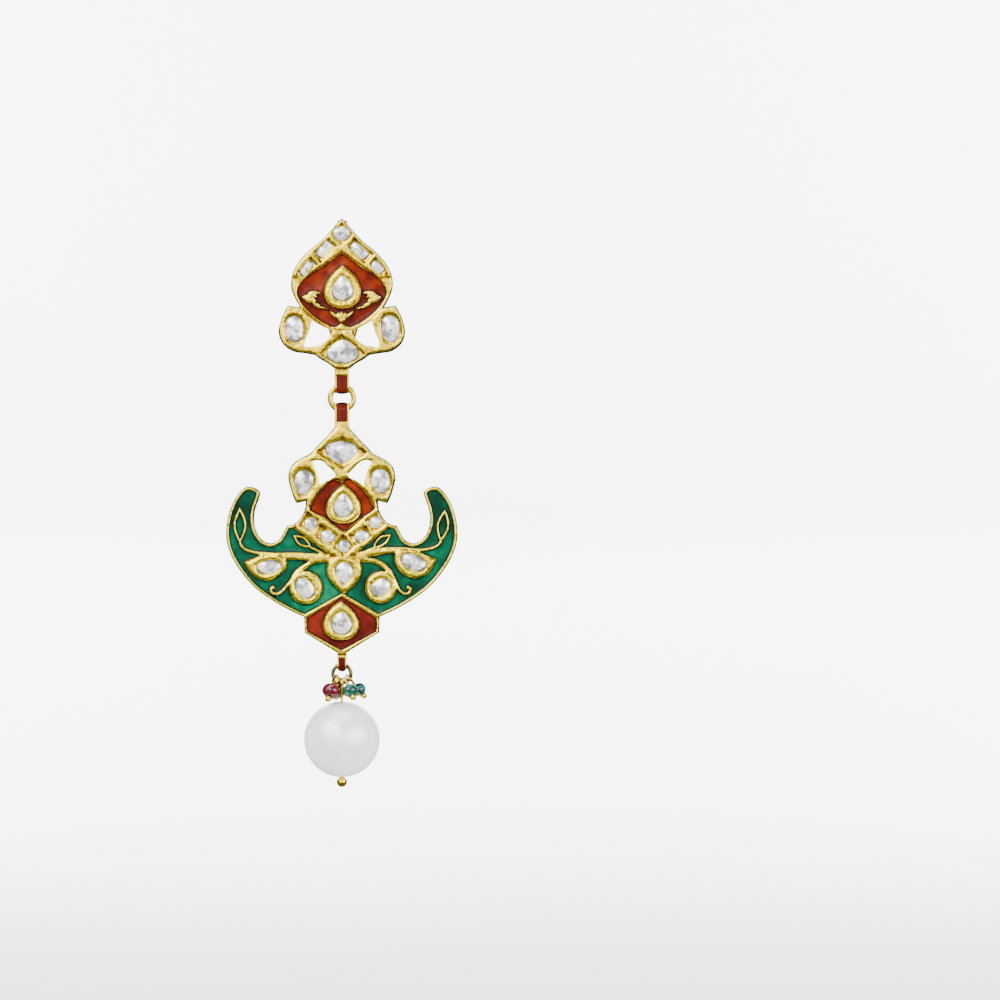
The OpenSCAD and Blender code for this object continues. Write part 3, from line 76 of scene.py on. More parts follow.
# Points closer than this are one, and points this near a saw cut lie on it
WELD = 0.002
ON_CUT = 0.0005
TO_MM = 1000
TO_METRES = 0.001


def blank_of(part):
    """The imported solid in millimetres, with its loose triangles merged."""
    bm = bmesh.new()
    bm.from_mesh(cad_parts[part].data)
    bmesh.ops.scale(bm, vec=(TO_MM, TO_MM, TO_MM), verts=bm.verts)
    bmesh.ops.remove_doubles(bm, verts=bm.verts, dist=WELD)
    return bm


def sawn(bm, at, keep_low, axis=1):
    """Saws square across an axis, keeps the side below the cut or above it, and closes it."""
    way = Vector([float(k == axis) for k in range(3)])
    cut = bmesh.ops.bisect_plane(
        bm, geom=bm.verts[:] + bm.edges[:] + bm.faces[:], dist=ON_CUT,
        plane_co=way * at, plane_no=way, clear_outer=keep_low, clear_inner=not keep_low)
    rim = [e for e in cut["geom_cut"] if isinstance(e, bmesh.types.BMEdge) and e.is_boundary]
    bmesh.ops.triangle_fill(bm, edges=rim, use_beauty=True, normal=way if keep_low else -way)
    bmesh.ops.recalc_face_normals(bm, faces=bm.faces)
    return bm


def put_down(name, data):
    """A new object at the origin that holds a mesh, a lamp or a lens."""
    thing = bpy.data.objects.new(name, data)
    bpy.context.scene.collection.objects.link(thing)
    return thing


def rubbed_skin(bm, grain, rounds):
    """A fine even skin over a blank, rubbed round at every edge."""
    mesh = bpy.data.meshes.new("blank")
    bm.to_mesh(mesh)
    bm.free()
    blank = put_down("blank", mesh)
    net = blank.modifiers.new("net", "REMESH")
    net.mode = "VOXEL"
    net.voxel_size = grain
    bpy.context.view_layer.update()
    made = blank.evaluated_get(bpy.context.evaluated_depsgraph_get()).to_mesh()
    skin = bmesh.new()
    skin.from_mesh(made)
    bpy.data.objects.remove(blank)
    bpy.data.meshes.remove(mesh)
    for _ in range(rounds):
        bmesh.ops.smooth_vert(skin, verts=skin.verts, factor=0.5,
                              use_axis_x=True, use_axis_y=True, use_axis_z=True)
    return skin


def pressed_round(bm, cut, face, rounds):
    """Rubs ribs and collars round like soft wire. The metal moves in depth only."""
    top = [v for v in bm.verts if v.co.y < cut - PRESSED_FROM]
    for _ in range(rounds):
        bmesh.ops.smooth_vert(bm, verts=top, factor=0.5,
                              use_axis_x=False, use_axis_y=True, use_axis_z=False)
    for v in top:
        v.co.y = face + (v.co.y - face) * RIB_GAIN - FOIL


def hand_worked(bm, marks):
    """Moves the surface in and out a little, by rows of wave length and depth."""
    bm.normal_update()
    for v in bm.verts:
        v.co += v.normal * sum(noise.noise(v.co / wave) * depth for wave, depth in marks)


def relief_shading(mesh, rounds):
    """Point attribute relief_shade: 1 on a rubbed ridge, a half on flats, 0 down in a hollow. It
    drives painted highlight and painted shade.
    """
    n = len(mesh.vertices)
    place = np.empty(3 * n)
    mesh.vertices.foreach_get("co", place)
    place = place.reshape(n, 3)
    outward = np.empty(3 * n, np.float32)
    mesh.vertices.foreach_get("normal", outward)
    ends = np.empty(2 * len(mesh.edges), np.int32)
    mesh.edges.foreach_get("vertices", ends)
    a, b = ends[0::2], ends[1::2]
    count = (np.bincount(a, minlength=n) + np.bincount(b, minlength=n))[:, None]
    level = place.copy()
    for _ in range(rounds):
        near = np.stack([np.bincount(a, level[b, k], n) + np.bincount(b, level[a, k], n)
                         for k in range(3)], axis=1)
        level = HOLD * level + (1 - HOLD) * near / count
    height = ((place - level) * outward.reshape(n, 3)).sum(axis=1)
    relief_shade = np.clip(0.5 + height / (2 * RIDGE), 0, 1).astype(np.float32)
    mesh.attributes.new("relief_shade", "FLOAT", "POINT").data.foreach_set("value", relief_shade)


def finished_piece(name, bm, finish, angle=SHARP_FROM):
    """Brings a form back to metres and gives it its finish. Edges past the angle stay sharp."""
    bmesh.ops.scale(bm, vec=(TO_METRES, TO_METRES, TO_METRES), verts=bm.verts)
    mesh = bpy.data.meshes.new(name)
    bm.to_mesh(mesh)
    bm.free()
    mesh.shade_smooth()
    if angle < SMOOTH:
        mesh.set_sharp_from_angle(angle=math.radians(angle))
    mesh.materials.append(finish)
    return put_down(name, mesh)


def pressed_gold(plate, cut, face, grain, softening, rubs, levelling):
    """The front gold of a plate, from the sawn blank to its ridges marked for painted highlight
    and shade.
    """
    foil = rubbed_skin(sawn(blank_of(plate + "_frame"), cut, True), grain, softening)
    pressed_round(foil, cut, face, rubs)
    foil = sawn(foil, cut - SKIM, True)
    hand_worked(foil, HAND_MARKS)
    piece = finished_piece(plate + "_front_gold", foil, foil_gold, SMOOTH)
    relief_shading(piece.data, levelling)
    return piece


def fill(tree, socket, value):
    """Feeds a socket from another socket, or sets it to a plain number or colour."""
    if isinstance(value, bpy.types.NodeSocket):
        tree.links.new(value, socket)
    elif socket.type == "RGBA":
        socket.default_value = (*value, 1)
    else:
        socket.default_value = value


def effect(name, inputs, outputs):
    """An empty shader node group with its named sockets."""
    tree = bpy.data.node_groups.new(name, "ShaderNodeTree")
    for side, rows in (("INPUT", inputs), ("OUTPUT", outputs)):
        for label, kind, value in rows:
            socket = tree.interface.new_socket(name=label, in_out=side, socket_type=kind)
            if value is not None:
                socket.default_value = value
    return tree, tree.nodes.new("NodeGroupInput"), tree.nodes.new("NodeGroupOutput")


def worked_out(tree, kind, operation, *terms):
    """A number or vector worked out from sockets and plain values."""
    maths = tree.nodes.new("ShaderNode" + kind)
    maths.operation = operation
    for socket, term in zip(maths.inputs, terms):
        fill(tree, socket, term)
    return maths.outputs["Value" if kind == "Math" or operation == "LENGTH" else "Vector"]


def mixed(tree, factor, low, high):
    """A colour between low and high. Each is a colour or a socket."""
    mix = tree.nodes.new("ShaderNodeMix")
    mix.data_type = "RGBA"
    colours = [socket for socket in mix.inputs if socket.type == "RGBA"]
    fill(tree, mix.inputs["Factor"], factor)
    fill(tree, colours[0], low)
    fill(tree, colours[1], high)
    return next(socket for socket in mix.outputs if socket.type == "RGBA")


def spread(tree, value, low, high, to_low=0.0, to_high=1.0):
    """Maps a value from one range to another, held at the ends."""
    ramp = tree.nodes.new("ShaderNodeMapRange")
    for label, number in (("Value", value), ("From Min", low), ("From Max", high),
                          ("To Min", to_low), ("To Max", to_high)):
        fill(tree, ramp.inputs[label], number)
    return ramp.outputs["Result"]


def clouds(tree, size, detail=2.0, output="Fac"):
    """Noise on Object coordinates. The size is in millimetres."""
    where = tree.nodes.new("ShaderNodeTexCoord")
    place = tree.nodes.new("ShaderNodeMapping")
    place.inputs["Scale"].default_value = [TO_MM / size] * 3
    tree.links.new(where.outputs["Object"], place.inputs["Vector"])
    grain = tree.nodes.new("ShaderNodeTexNoise")
    grain.inputs["Scale"].default_value = 1
    grain.inputs["Detail"].default_value = detail
    tree.links.new(place.outputs["Vector"], grain.inputs["Vector"])
    return grain.outputs[output]


def marked(tree, attribute):
    """What a point attribute of the piece says."""
    mark = tree.nodes.new("ShaderNodeAttribute")
    mark.attribute_name = attribute
    return mark.outputs["Fac"]


def relief(tree, height, strength, depth):
    """Shallow relief in the light. The depth is in metres."""
    bump = tree.nodes.new("ShaderNodeBump")
    bump.inputs["Strength"].default_value = strength
    bump.inputs["Distance"].default_value = depth
    tree.links.new(height, bump.inputs["Height"])
    tree.links.new(bump.outputs["Normal"], tree.nodes["Principled BSDF"].inputs["Normal"])


def new_finish(name, values):
    """A material, its node tree and its shader, with plain values by socket name."""
    finish = bpy.data.materials.new(name)
    finish.use_nodes = True
    shader = finish.node_tree.nodes["Principled BSDF"]
    for label, value in values.items():
        shader.inputs[label].default_value = value
    return finish, finish.node_tree, shader


# Gold colour from painted shade in the hollows, orange, to painted highlight on the ridges, pale
# yellow, with random mottle between
rubbed, rubbed_in, rubbed_out = effect(
    "Gold with painted relief light",
    [("Relief shade", "NodeSocketFloat", 0.5), ("Hollow", "NodeSocketColor", None),
     ("Flat", "NodeSocketColor", None), ("Ridge", "NodeSocketColor", None),
     ("Mottle", "NodeSocketFloat", 0.3)],
    [("Color", "NodeSocketColor", None), ("Roughness", "NodeSocketFloat", None),
     ("Height", "NodeSocketFloat", None)])
fine = clouds(rubbed, 0.28, 3)
patch = worked_out(rubbed, "Math", "SUBTRACT", clouds(rubbed, 1.1), 0.5)
relief_light = worked_out(rubbed, "Math", "MULTIPLY_ADD", patch, rubbed_in.outputs["Mottle"],
                  rubbed_in.outputs["Relief shade"])
# Painted shade towards the hollow colour and painted highlight towards the ridge colour
low_part = mixed(rubbed, spread(rubbed, relief_light, 0.12, 0.5), rubbed_in.outputs["Hollow"],
                 rubbed_in.outputs["Flat"])
tone = mixed(rubbed, spread(rubbed, relief_light, 0.5, 0.85), low_part, rubbed_in.outputs["Ridge"])
rubbed.links.new(tone, rubbed_out.inputs["Color"])
rubbed.links.new(spread(rubbed, fine, 0.3, 0.7, 0.20, 0.32), rubbed_out.inputs["Roughness"])
rubbed.links.new(fine, rubbed_out.inputs["Height"])


def gold(name, hollow, flat, ridge, mottle, bump, relief_shade=False, rough=None):
    """A gold finish from the painted relief light group. With relief_shade it paints highlight on
    the piece's ridges and shade in its hollows.
    """
    finish, tree, shader = new_finish(name, {"Metallic": 1})
    colour = tree.nodes.new("ShaderNodeGroup")
    colour.node_tree = rubbed
    for label, value in (("Hollow", hollow), ("Flat", flat), ("Ridge", ridge), ("Mottle", mottle)):
        fill(tree, colour.inputs[label], value)
    if relief_shade:
        fill(tree, colour.inputs["Relief shade"], marked(tree, "relief_shade"))
    tree.links.new(colour.outputs["Color"], shader.inputs["Base Color"])
    fill(tree, shader.inputs["Roughness"],
         colour.outputs["Roughness"] if rough is None else rough)
    relief(tree, colour.outputs["Height"], bump, 0.00004)
    return finish


# Foil gold reads relief_shade: its hollow colour is painted shade and its ridge colour painted
# highlight
foil_gold = gold("Foil gold", hollow=(0.26, 0.095, 0.004), flat=(0.86, 0.545, 0.006),
                 ridge=(1.0, 0.80, 0.02), mottle=0.6, bump=0.5, relief_shade=True)
stud_front_gold = pressed_gold("stud", STUD_CUT, STUD_FACE, STUD_GRAIN, STUD_SOFTENING,
                               STUD_RUBS, STUD_LEVELLING)
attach(stud_front_gold, "stud")
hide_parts("stud_frame")

# Back of the stud plate, with the bail, the ear post and the clip's strap
# One casting, soldered up and cut with gravers for the enamel. Its lines stay crisp and
# polished, and the fittings are brighter and plainer than the front.
polished_gold = gold("Polished gold", hollow=(0.60, 0.34, 0.01), flat=(0.94, 0.65, 0.02),
                     ridge=(1.0, 0.78, 0.05), mottle=0.25, bump=0.15, rough=0.17)

# Width of the bevel along an edge that turns by more than this many degrees
CRISP_EDGE = 0.03
CRISP_TURN = 40
# Height of the solder seam at the bail's root
STUD_SEAM = -14.7
# The middle of the bails and rings in depth
MID_Y = -1.1
# A bail: height of its eye, the way that it points, half its width, and the radius of the eye
# and of its bore
Bail = namedtuple("Bail", "eye way half_w eye_r bore")
STUD_BAIL = Bail(eye=-16.83, way=-1, half_w=1.02, eye_r=1.0, bore=0.62)
BAIL_GRAIN = 0.05
BAIL_SOFTENING = 5
# How far the corners of a bail's end are filed off
DRAWN_IN = 0.24
# How far the ends of a bore are worn open, the wall that gives way, and how sharply
WORN = 0.17
WORN_WALL = 0.3
WORN_POWER = 8
# The end darkens from this share of the eye's wall before the bore ends, and this far at most
RIM_START = 0.45
RIM_MOST = 0.9


def plain_faces(bm, degrees=0.6):
    """Joins the triangles that lie in one plane, to within this angle."""
    bmesh.ops.dissolve_limit(bm, angle_limit=math.radians(degrees), verts=bm.verts,
                             edges=bm.edges, use_dissolve_boundaries=False)
    return bm


def turned_edges(bm, degrees):
    """The edges where two faces meet at more than this angle."""
    return [e for e in bm.edges if e.is_manifold and e.calc_face_angle() > math.radians(degrees)]


def bevelled(bm, edges, width):
    """A narrow flat along the edges."""
    bmesh.ops.bevel(bm, geom=edges, offset=width, affect="EDGES", segments=1, profile=0.5,
                    material=-1, clamp_overlap=True)
    return bm


def crisp(bm):
    """Clean faces with a narrow bevel along every edge that turns sharply."""
    plain_faces(bm)
    return bevelled(bm, turned_edges(bm, CRISP_TURN), CRISP_EDGE)


def curved_end(bm, bail):
    """Files the corners off the outside of a bail's end, clear of the bore.

    Point attribute "rim" rises where the end turns out of the light.
    """
    layer = bm.verts.layers.float.get("rim") or bm.verts.layers.float.new("rim")
    for v in bm.verts:
        past = (bail.way * (v.co.z - bail.eye) - bail.bore) / (bail.eye_r - bail.bore)
        v.co.z -= bail.way * DRAWN_IN * (v.co.x / bail.half_w) ** 2 * min(1, max(0, past))
        # The rim mark paints shade on the end where it turns out of the light
        v[layer] = max(v[layer], min(RIM_MOST, max(0, past + RIM_START)))
    return bm


def worn_mouths(bm, bail):
    """Wears both ends of a bail's bore open, where the ring's wire leans on them."""
    for v in bm.verts:
        y, z = v.co.y - MID_Y, v.co.z - bail.eye
        out = math.hypot(y, z)
        near = min(1, max(0, 1 - (out - bail.bore) / WORN_WALL))
        push = WORN * near * min(1, abs(v.co.x) / bail.half_w) ** WORN_POWER
        v.co.y += push * y / out
        v.co.z += push * z / out
    return bm


plate_back = crisp(sawn(sawn(blank_of("stud_frame"), STUD_CUT, False), STUD_SEAM, False, 2))
stud_bail = rubbed_skin(sawn(blank_of("stud_frame"), STUD_SEAM, True, 2), BAIL_GRAIN,
                        BAIL_SOFTENING)
stud_bail = worn_mouths(curved_end(stud_bail, STUD_BAIL), STUD_BAIL)
for name, bm, angle in (("stud_back_gold", plate_back, SHARP_FROM),
                        ("stud_bail_gold", stud_bail, SMOOTH)):
    cast = finished_piece(name, bm, polished_gold, angle)
    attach(cast, "stud")
    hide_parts("stud_frame")

# Front gold of the pendant plate
# The same rubbed gold stands round fifteen stones, and runs out into stems and leaves over
# the green. The plate's edge is a rounded lip.
PENDANT_CUT = -2.15
PENDANT_FACE = -2.5
PENDANT_GRAIN = 0.094
PENDANT_SOFTENING = 1
PENDANT_RUBS = 15
PENDANT_LEVELLING = 28
pendant_front_gold = pressed_gold("pendant", PENDANT_CUT, PENDANT_FACE, PENDANT_GRAIN,
                                  PENDANT_SOFTENING, PENDANT_RUBS, PENDANT_LEVELLING)
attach(pendant_front_gold, "pendant")
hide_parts("pendant_frame")

# Back of the pendant plate, with its two bails
# The same crisp gold as behind the stud. Thin walls of it stand between the enamel cells. Each
# bail is soldered on, and a fine dark seam is left at its root.
HIGH_SEAM = -22.4
LOW_SEAM = -54.3
HIGH_BAIL = Bail(eye=-19.89, way=1, half_w=1.02, eye_r=1.0, bore=0.62)
LOW_BAIL = Bail(eye=-55.71, way=-1, half_w=0.62, eye_r=0.92, bore=0.5)
LOW_BAIL_GRAIN = 0.045
LOW_BAIL_SOFTENING = 4
plate_back = sawn(sawn(sawn(blank_of("pendant_frame"), PENDANT_CUT, False), HIGH_SEAM, True, 2),
                  LOW_SEAM, False, 2)
high_bail = rubbed_skin(sawn(blank_of("pendant_frame"), HIGH_SEAM, False, 2), BAIL_GRAIN,
                        BAIL_SOFTENING)
high_bail = worn_mouths(curved_end(high_bail, HIGH_BAIL), HIGH_BAIL)
low_bail = rubbed_skin(sawn(blank_of("pendant_frame"), LOW_SEAM, True, 2), LOW_BAIL_GRAIN,
                       LOW_BAIL_SOFTENING)
for name, bm, angle in (("pendant_back_gold", crisp(plate_back), SHARP_FROM),
                        ("pendant_bail_gold", high_bail, SMOOTH),
                        ("pendant_low_bail_gold", curved_end(low_bail, LOW_BAIL), SMOOTH)):
    cast = finished_piece(name, bm, polished_gold, angle)
    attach(cast, "pendant")
    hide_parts("pendant_frame")

# Red and green enamel on the fronts
# Clear coloured glass is melted over scratched gold. It creeps up the gold at its edge, where
# it looks dark, and glows in patches where the gold below throws light back.

# Mesh of the net over a front panel, how far the glass sinks in its middle, and how near a
# point lies to the open face to belong to it
FRONT_STEP = 0.4
FRONT_SINK = 0.05
ON_FACE = 0.01
# How far in from the gold the dark rim and the creeping edge reach
RIM_REACH = 0.28
CREEP_REACH = 0.35
# The open face ripples: wave length, depth, and how far in from the gold it is at its full
RIPPLE_WAVE = 1.9
RIPPLE_DEPTH = 0.02
RIPPLE_FULL = 0.5


def corners(bm):
    """The lowest and highest corner of a form's box."""
    return [Vector([pick(v.co[k] for v in bm.verts) for k in range(3)]) for pick in (min, max)]


def glass_sheet(cell, step, front, sink):
    """The enamel of a cell, cut into a fine net on its open face and sunk in the middle.

    Point attribute "rim" is 1 at the gold and fades out away from it.
    """
    bm = blank_of(cell)
    layer = bm.verts.layers.float.new("rim")
    plain_faces(bm)
    low, high = corners(bm)
    for axis in (0, 2):
        way = Vector([float(k == axis) for k in range(3)])
        at = low[axis] + step / 2
        while at < high[axis]:
            bmesh.ops.bisect_plane(bm, geom=bm.verts[:] + bm.edges[:] + bm.faces[:], dist=ON_CUT,
                                   plane_co=way * at, plane_no=way)
            at += step
    face_y = low.y if front else high.y
    skin = [v for v in bm.verts if abs(v.co.y - face_y) < ON_FACE]
    rim = [v for v in skin if any(abs(f.normal.y) < 0.5 for f in v.link_faces)]
    gold_line = kdtree.KDTree(len(rim))
    for i, v in enumerate(rim):
        gold_line.insert(v.co, i)
    gold_line.balance()
    inward = 1 if front else -1
    for v in skin:
        away = gold_line.find(v.co)[2]
        v[layer] = math.exp(-away / RIM_REACH)
        v.co.y += inward * sink * (1 - math.exp(-away / CREEP_REACH))
        ripple = noise.noise(v.co / RIPPLE_WAVE) * min(1, away / RIPPLE_FULL)
        v.co.y += inward * RIPPLE_DEPTH * ripple
    return bm


# Enamel: its colour by the thickness over the scratched gold, darker at the rim
melted, melted_in, melted_out = effect(
    "Melted glass",
    [("Rim", "NodeSocketFloat", 0.0), ("Edge", "NodeSocketColor", None),
     ("Deep", "NodeSocketColor", None), ("Body", "NodeSocketColor", None),
     ("Glow", "NodeSocketColor", None)],
    [("Color", "NodeSocketColor", None), ("Height", "NodeSocketFloat", None)])
thickness = worked_out(melted, "Math", "MULTIPLY_ADD", clouds(melted, 1.3, 4), 0.4,
                       clouds(melted, 5.5, 3))
dark_body = mixed(melted, spread(melted, thickness, 0.52, 0.70), melted_in.outputs["Deep"],
                  melted_in.outputs["Body"])
lit_body = mixed(melted, spread(melted, thickness, 0.70, 0.92), dark_body,
                 melted_in.outputs["Glow"])
edged = mixed(melted, spread(melted, melted_in.outputs["Rim"], 0.25, 0.85), lit_body,
              melted_in.outputs["Edge"])
melted.links.new(edged, melted_out.inputs["Color"])
melted.links.new(clouds(melted, 0.35, 2), melted_out.inputs["Height"])


def enamel(name, edge, deep, body, glow, rough=0.12, coat=0.06):
    """An enamel finish from the melted glass group."""
    finish, tree, shader = new_finish(name, {
        "Roughness": rough, "Specular IOR Level": 0.06, "Coat Weight": coat,
        "Coat Roughness": 0.05})
    glass = tree.nodes.new("ShaderNodeGroup")
    glass.node_tree = melted
    for label, value in (("Edge", edge), ("Deep", deep), ("Body", body), ("Glow", glow),
                         ("Rim", marked(tree, "rim"))):
        fill(tree, glass.inputs[label], value)
    tree.links.new(glass.outputs["Color"], shader.inputs["Base Color"])
    relief(tree, glass.outputs["Height"], 0.12, 0.00003)
    return finish


red_glass = enamel("Red enamel", edge=(0.014, 0.001, 0.001), deep=(0.044, 0.002, 0.001),
                   body=(0.092, 0.006, 0.001), glow=(0.22, 0.024, 0.002))
low_red_glass = enamel("Deep red enamel", edge=(0.014, 0.001, 0.001), deep=(0.050, 0.003, 0.002),
                       body=(0.090, 0.006, 0.003), glow=(0.15, 0.014, 0.004))
green_glass = enamel("Green enamel", edge=(0.0, 0.005, 0.0035), deep=(0.0, 0.022, 0.011),
                     body=(0.0, 0.060, 0.027), glow=(0.001, 0.135, 0.058))
for cell, body, finish, slot in (
        ("stud_red_panel", "stud", red_glass, "red_enamel"),
        ("pendant_red_panel", "pendant", red_glass, "red_enamel"),
        ("pendant_low_red_panel", "pendant", low_red_glass, "red_enamel"),
        ("pendant_green_panels", "pendant", green_glass, "green_enamel")):
    sheet = finished_piece(cell + "_glass", glass_sheet(cell, FRONT_STEP, True, FRONT_SINK),
                           finish)
    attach(sheet, body)
    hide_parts(cell)

# Enamel on the backs
# Opaque white ground, with red petals, green leaves and dark blue borders set in it. Each
# colour fills its own cell between thin gold walls, and is ground almost flush with them.
BACK_STEP = 0.3
BACK_SINK = 0.02
white_glass = enamel("White enamel", edge=(0.60, 0.64, 0.66), deep=(0.76, 0.80, 0.83),
                     body=(0.84, 0.87, 0.89), glow=(0.90, 0.92, 0.93), rough=0.16)
petal_glass = enamel("Petal enamel", edge=(0.014, 0.001, 0.001), deep=(0.035, 0.001, 0.001),
                     body=(0.060, 0.002, 0.001), glow=(0.11, 0.007, 0.002))
leaf_glass = enamel("Leaf enamel", edge=(0.0, 0.006, 0.002), deep=(0.0, 0.018, 0.006),
                    body=(0.0, 0.034, 0.011), glow=(0.0, 0.060, 0.020))
blue_glass = enamel("Blue enamel", edge=(0.001, 0.001, 0.006), deep=(0.002, 0.002, 0.014),
                    body=(0.003, 0.003, 0.024), glow=(0.006, 0.007, 0.048))
for plate in ("stud", "pendant"):
    for colour, finish, slot in (("white", white_glass, "white_enamel"),
                                 ("red", petal_glass, "red_enamel"),
                                 ("green", leaf_glass, "leaf_enamel"),
                                 ("blue", blue_glass, "blue_enamel")):
        cell = plate + "_back_" + colour
        sheet = finished_piece(cell + "_glass", glass_sheet(cell, BACK_STEP, False, BACK_SINK),
                               finish)
        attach(sheet, plate)
        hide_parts(cell)

# Green enamel round the sides
# The channel round each plate's edge was cut with close upright strokes before the green
# glass went in, and they show through it as fine ribs.
RIB = 0.42
# A wall's face leans less than this in depth, and an upright edge runs more than this in depth
WALL_LEAN = 0.3
UPRIGHT = 0.5


def round_the_edge(bm):
    """A UV map that runs along the channel, in rib widths, and across it."""
    layer = bm.loops.layers.uv.new("edge")
    todo = {f for f in bm.faces if abs(f.normal.y) < WALL_LEAN}
    while todo:
        face, run = min(todo, key=lambda f: f.index), 0.0
        entry = None
        while face is not None and face in todo:
            todo.discard(face)
            upright = [e for e in face.edges
                       if abs(e.verts[0].co.y - e.verts[1].co.y) > UPRIGHT * e.calc_length()]
            entry = entry if entry in upright else upright[0]
            here = (entry.verts[0].co + entry.verts[1].co) / 2
            for corner in face.loops:
                flat = corner.vert.co - here
                flat.y = 0
                corner[layer].uv = ((run + flat.length) / RIB, corner.vert.co.y)
            others = [e for e in upright if e is not entry]
            if not others:
                break
            there = (others[-1].verts[0].co + others[-1].verts[1].co) / 2
            run += (there - here).length
            entry = others[-1]
            face = next((f for f in entry.link_faces if f in todo), None)
    return bm


side_glass = enamel("Side enamel", edge=(0.0, 0.010, 0.009), deep=(0.0, 0.025, 0.021),
                    body=(0.0, 0.05, 0.043), glow=(0.002, 0.095, 0.08), rough=0.2, coat=0.05)
tree = side_glass.node_tree
base_colour = tree.nodes["Principled BSDF"].inputs["Base Color"]
along = tree.nodes.new("ShaderNodeUVMap")
along.uv_map = "edge"
strokes = tree.nodes.new("ShaderNodeTexWave")
strokes.bands_direction = "X"
# At this scale one wave of the texture is one rib
strokes.inputs["Scale"].default_value = 0.314
strokes.inputs["Distortion"].default_value = 1.5
strokes.inputs["Detail"].default_value = 1
tree.links.new(along.outputs["UV"], strokes.inputs["Vector"])
ribbed = mixed(tree, spread(tree, strokes.outputs["Fac"], 0.25, 0.8), (0.0, 0.015, 0.013),
               base_colour.links[0].from_socket)
tree.links.new(ribbed, base_colour)
for plate in ("stud", "pendant"):
    cell = plate + "_side_enamel"
    band = finished_piece(plate + "_side_glass", round_the_edge(plain_faces(blank_of(cell))),
                          side_glass)
    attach(band, plate)
    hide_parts(cell)

# Enamel on the bails and loops
# Red glass down the front and round the eye of each bail, and dark blue on small tabs behind.
# Thin drops of it lie in shallow beds and are not ground, so their edges are round.
DROP_GRAIN = 0.045
DROP_SOFTENING = 6
bail_red = enamel("Bail red", edge=(0.014, 0.001, 0.001), deep=(0.036, 0.002, 0.001),
                  body=(0.090, 0.008, 0.005), glow=(0.15, 0.018, 0.009))
for cell, body, bails, finish, slot in (
        ("stud_loop_red", "stud", [STUD_BAIL], bail_red, "red_enamel"),
        ("stud_loop_blue", "stud", [], blue_glass, "blue_enamel"),
        ("pendant_loop_red", "pendant", [HIGH_BAIL, LOW_BAIL], bail_red, "red_enamel"),
        ("pendant_loop_blue", "pendant", [], blue_glass, "blue_enamel")):
    bm = rubbed_skin(blank_of(cell), DROP_GRAIN, DROP_SOFTENING)
    for bail in bails:
        curved_end(bm, bail)
    drops = finished_piece(cell + "_glass", bm, finish, SMOOTH)
    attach(drops, body)
    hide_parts(cell)

# Flat cut diamonds
# Each is a thin flat crystal with a small table and a few wide facets. Bright foil lies under
# it, so it looks silver. Its colour has painted reflections of the creased foil as grey swirls,
# and a painted shadow as a dark line at its edge.
STONES = [("stud", "stud_stone_%d" % i) for i in range(1, 10)]
STONES += [("pendant", "pendant_stone_%d" % i) for i in range(1, 16)]
# Depth of a stone in its seat, and how near a corner lies to the table to belong to it
SEATED = 0.3
ON_TABLE = 0.02
# How far a crown corner leans and a table corner strays, with the pace of each from corner to
# corner, and the shift that parts the two ways of straying
LEAN = 0.05
LEAN_PACE = 1.7
STRAY = 0.14
STRAY_PACE = 2.1
STRAY_SHIFT = Vector((9, 5, 3))
# Width of a ground edge between two facets, and degrees past which facets show as apart
GROUND = 0.035
FACET_TURN = 5
FACET_FROM = 8


def cut_stone(name):
    """A stone with softened facets, and a UV map that runs from its middle to its edge."""
    bm = plain_faces(blank_of(name), 2)
    low, high = corners(bm)
    mid, half = (low + high) / 2, (high - low) / 2
    # No two facets were ground alike: each crown corner leans its own way
    for v in bm.verts:
        if low.y + ON_TABLE < v.co.y < high.y - SEATED:
            v.co.y += LEAN * noise.noise(v.co * LEAN_PACE)
        elif v.co.y <= low.y + ON_TABLE:
            v.co.x += STRAY * noise.noise(v.co * STRAY_PACE)
            v.co.z += STRAY * noise.noise(v.co * STRAY_PACE + STRAY_SHIFT)
    bevelled(bm, [e for e in turned_edges(bm, FACET_TURN)
                  if min(v.co.y for v in e.verts) < high.y - SEATED], GROUND)
    bmesh.ops.triangulate(bm, faces=bm.faces)
    layer = bm.loops.layers.uv.new("stone")
    for corner in (c for face in bm.faces for c in face.loops):
        place = corner.vert.co - mid
        corner[layer].uv = (place.x / half.x, place.z / half.z)
    return bm


diamond, tree, shader = new_finish("Foiled diamond", {
    "Metallic": 0.5, "Roughness": 0.10, "Coat Weight": 0.5, "Coat Roughness": 0.03})
stone_map = tree.nodes.new("ShaderNodeUVMap")
stone_map.uv_map = "stone"
# Painted reflection: the creased foil mirrors the table as a broken ring with a dark dot in it
swirl = worked_out(tree, "VectorMath", "SUBTRACT", clouds(tree, 2.2, 3, "Color"), (0.5, 0.5, 0.5))
strayed = worked_out(tree, "VectorMath", "MULTIPLY_ADD", swirl, (1.5, 1.5, 0),
                     stone_map.outputs["UV"])
reach = worked_out(tree, "VectorMath", "LENGTH", strayed)
ring_line = worked_out(tree, "Math", "ABSOLUTE",
                       worked_out(tree, "Math", "SUBTRACT", reach, 0.42))
broken = worked_out(tree, "Math", "MULTIPLY", spread(tree, ring_line, 0.02, 0.12, 0.75, 0.0),
                    spread(tree, clouds(tree, 1.0, 1), 0.42, 0.56))
# Grey patches of painted reflection from the creased foil
patches = mixed(tree, spread(tree, clouds(tree, 1.25, 1), 0.38, 0.54), (0.26, 0.26, 0.27),
                (1.0, 1.0, 1.0))
ringed = mixed(tree, broken, patches, (0.18, 0.18, 0.18))
dotted = mixed(tree, spread(tree, reach, 0.05, 0.16, 0.85, 0.0), ringed, (0.06, 0.05, 0.05))
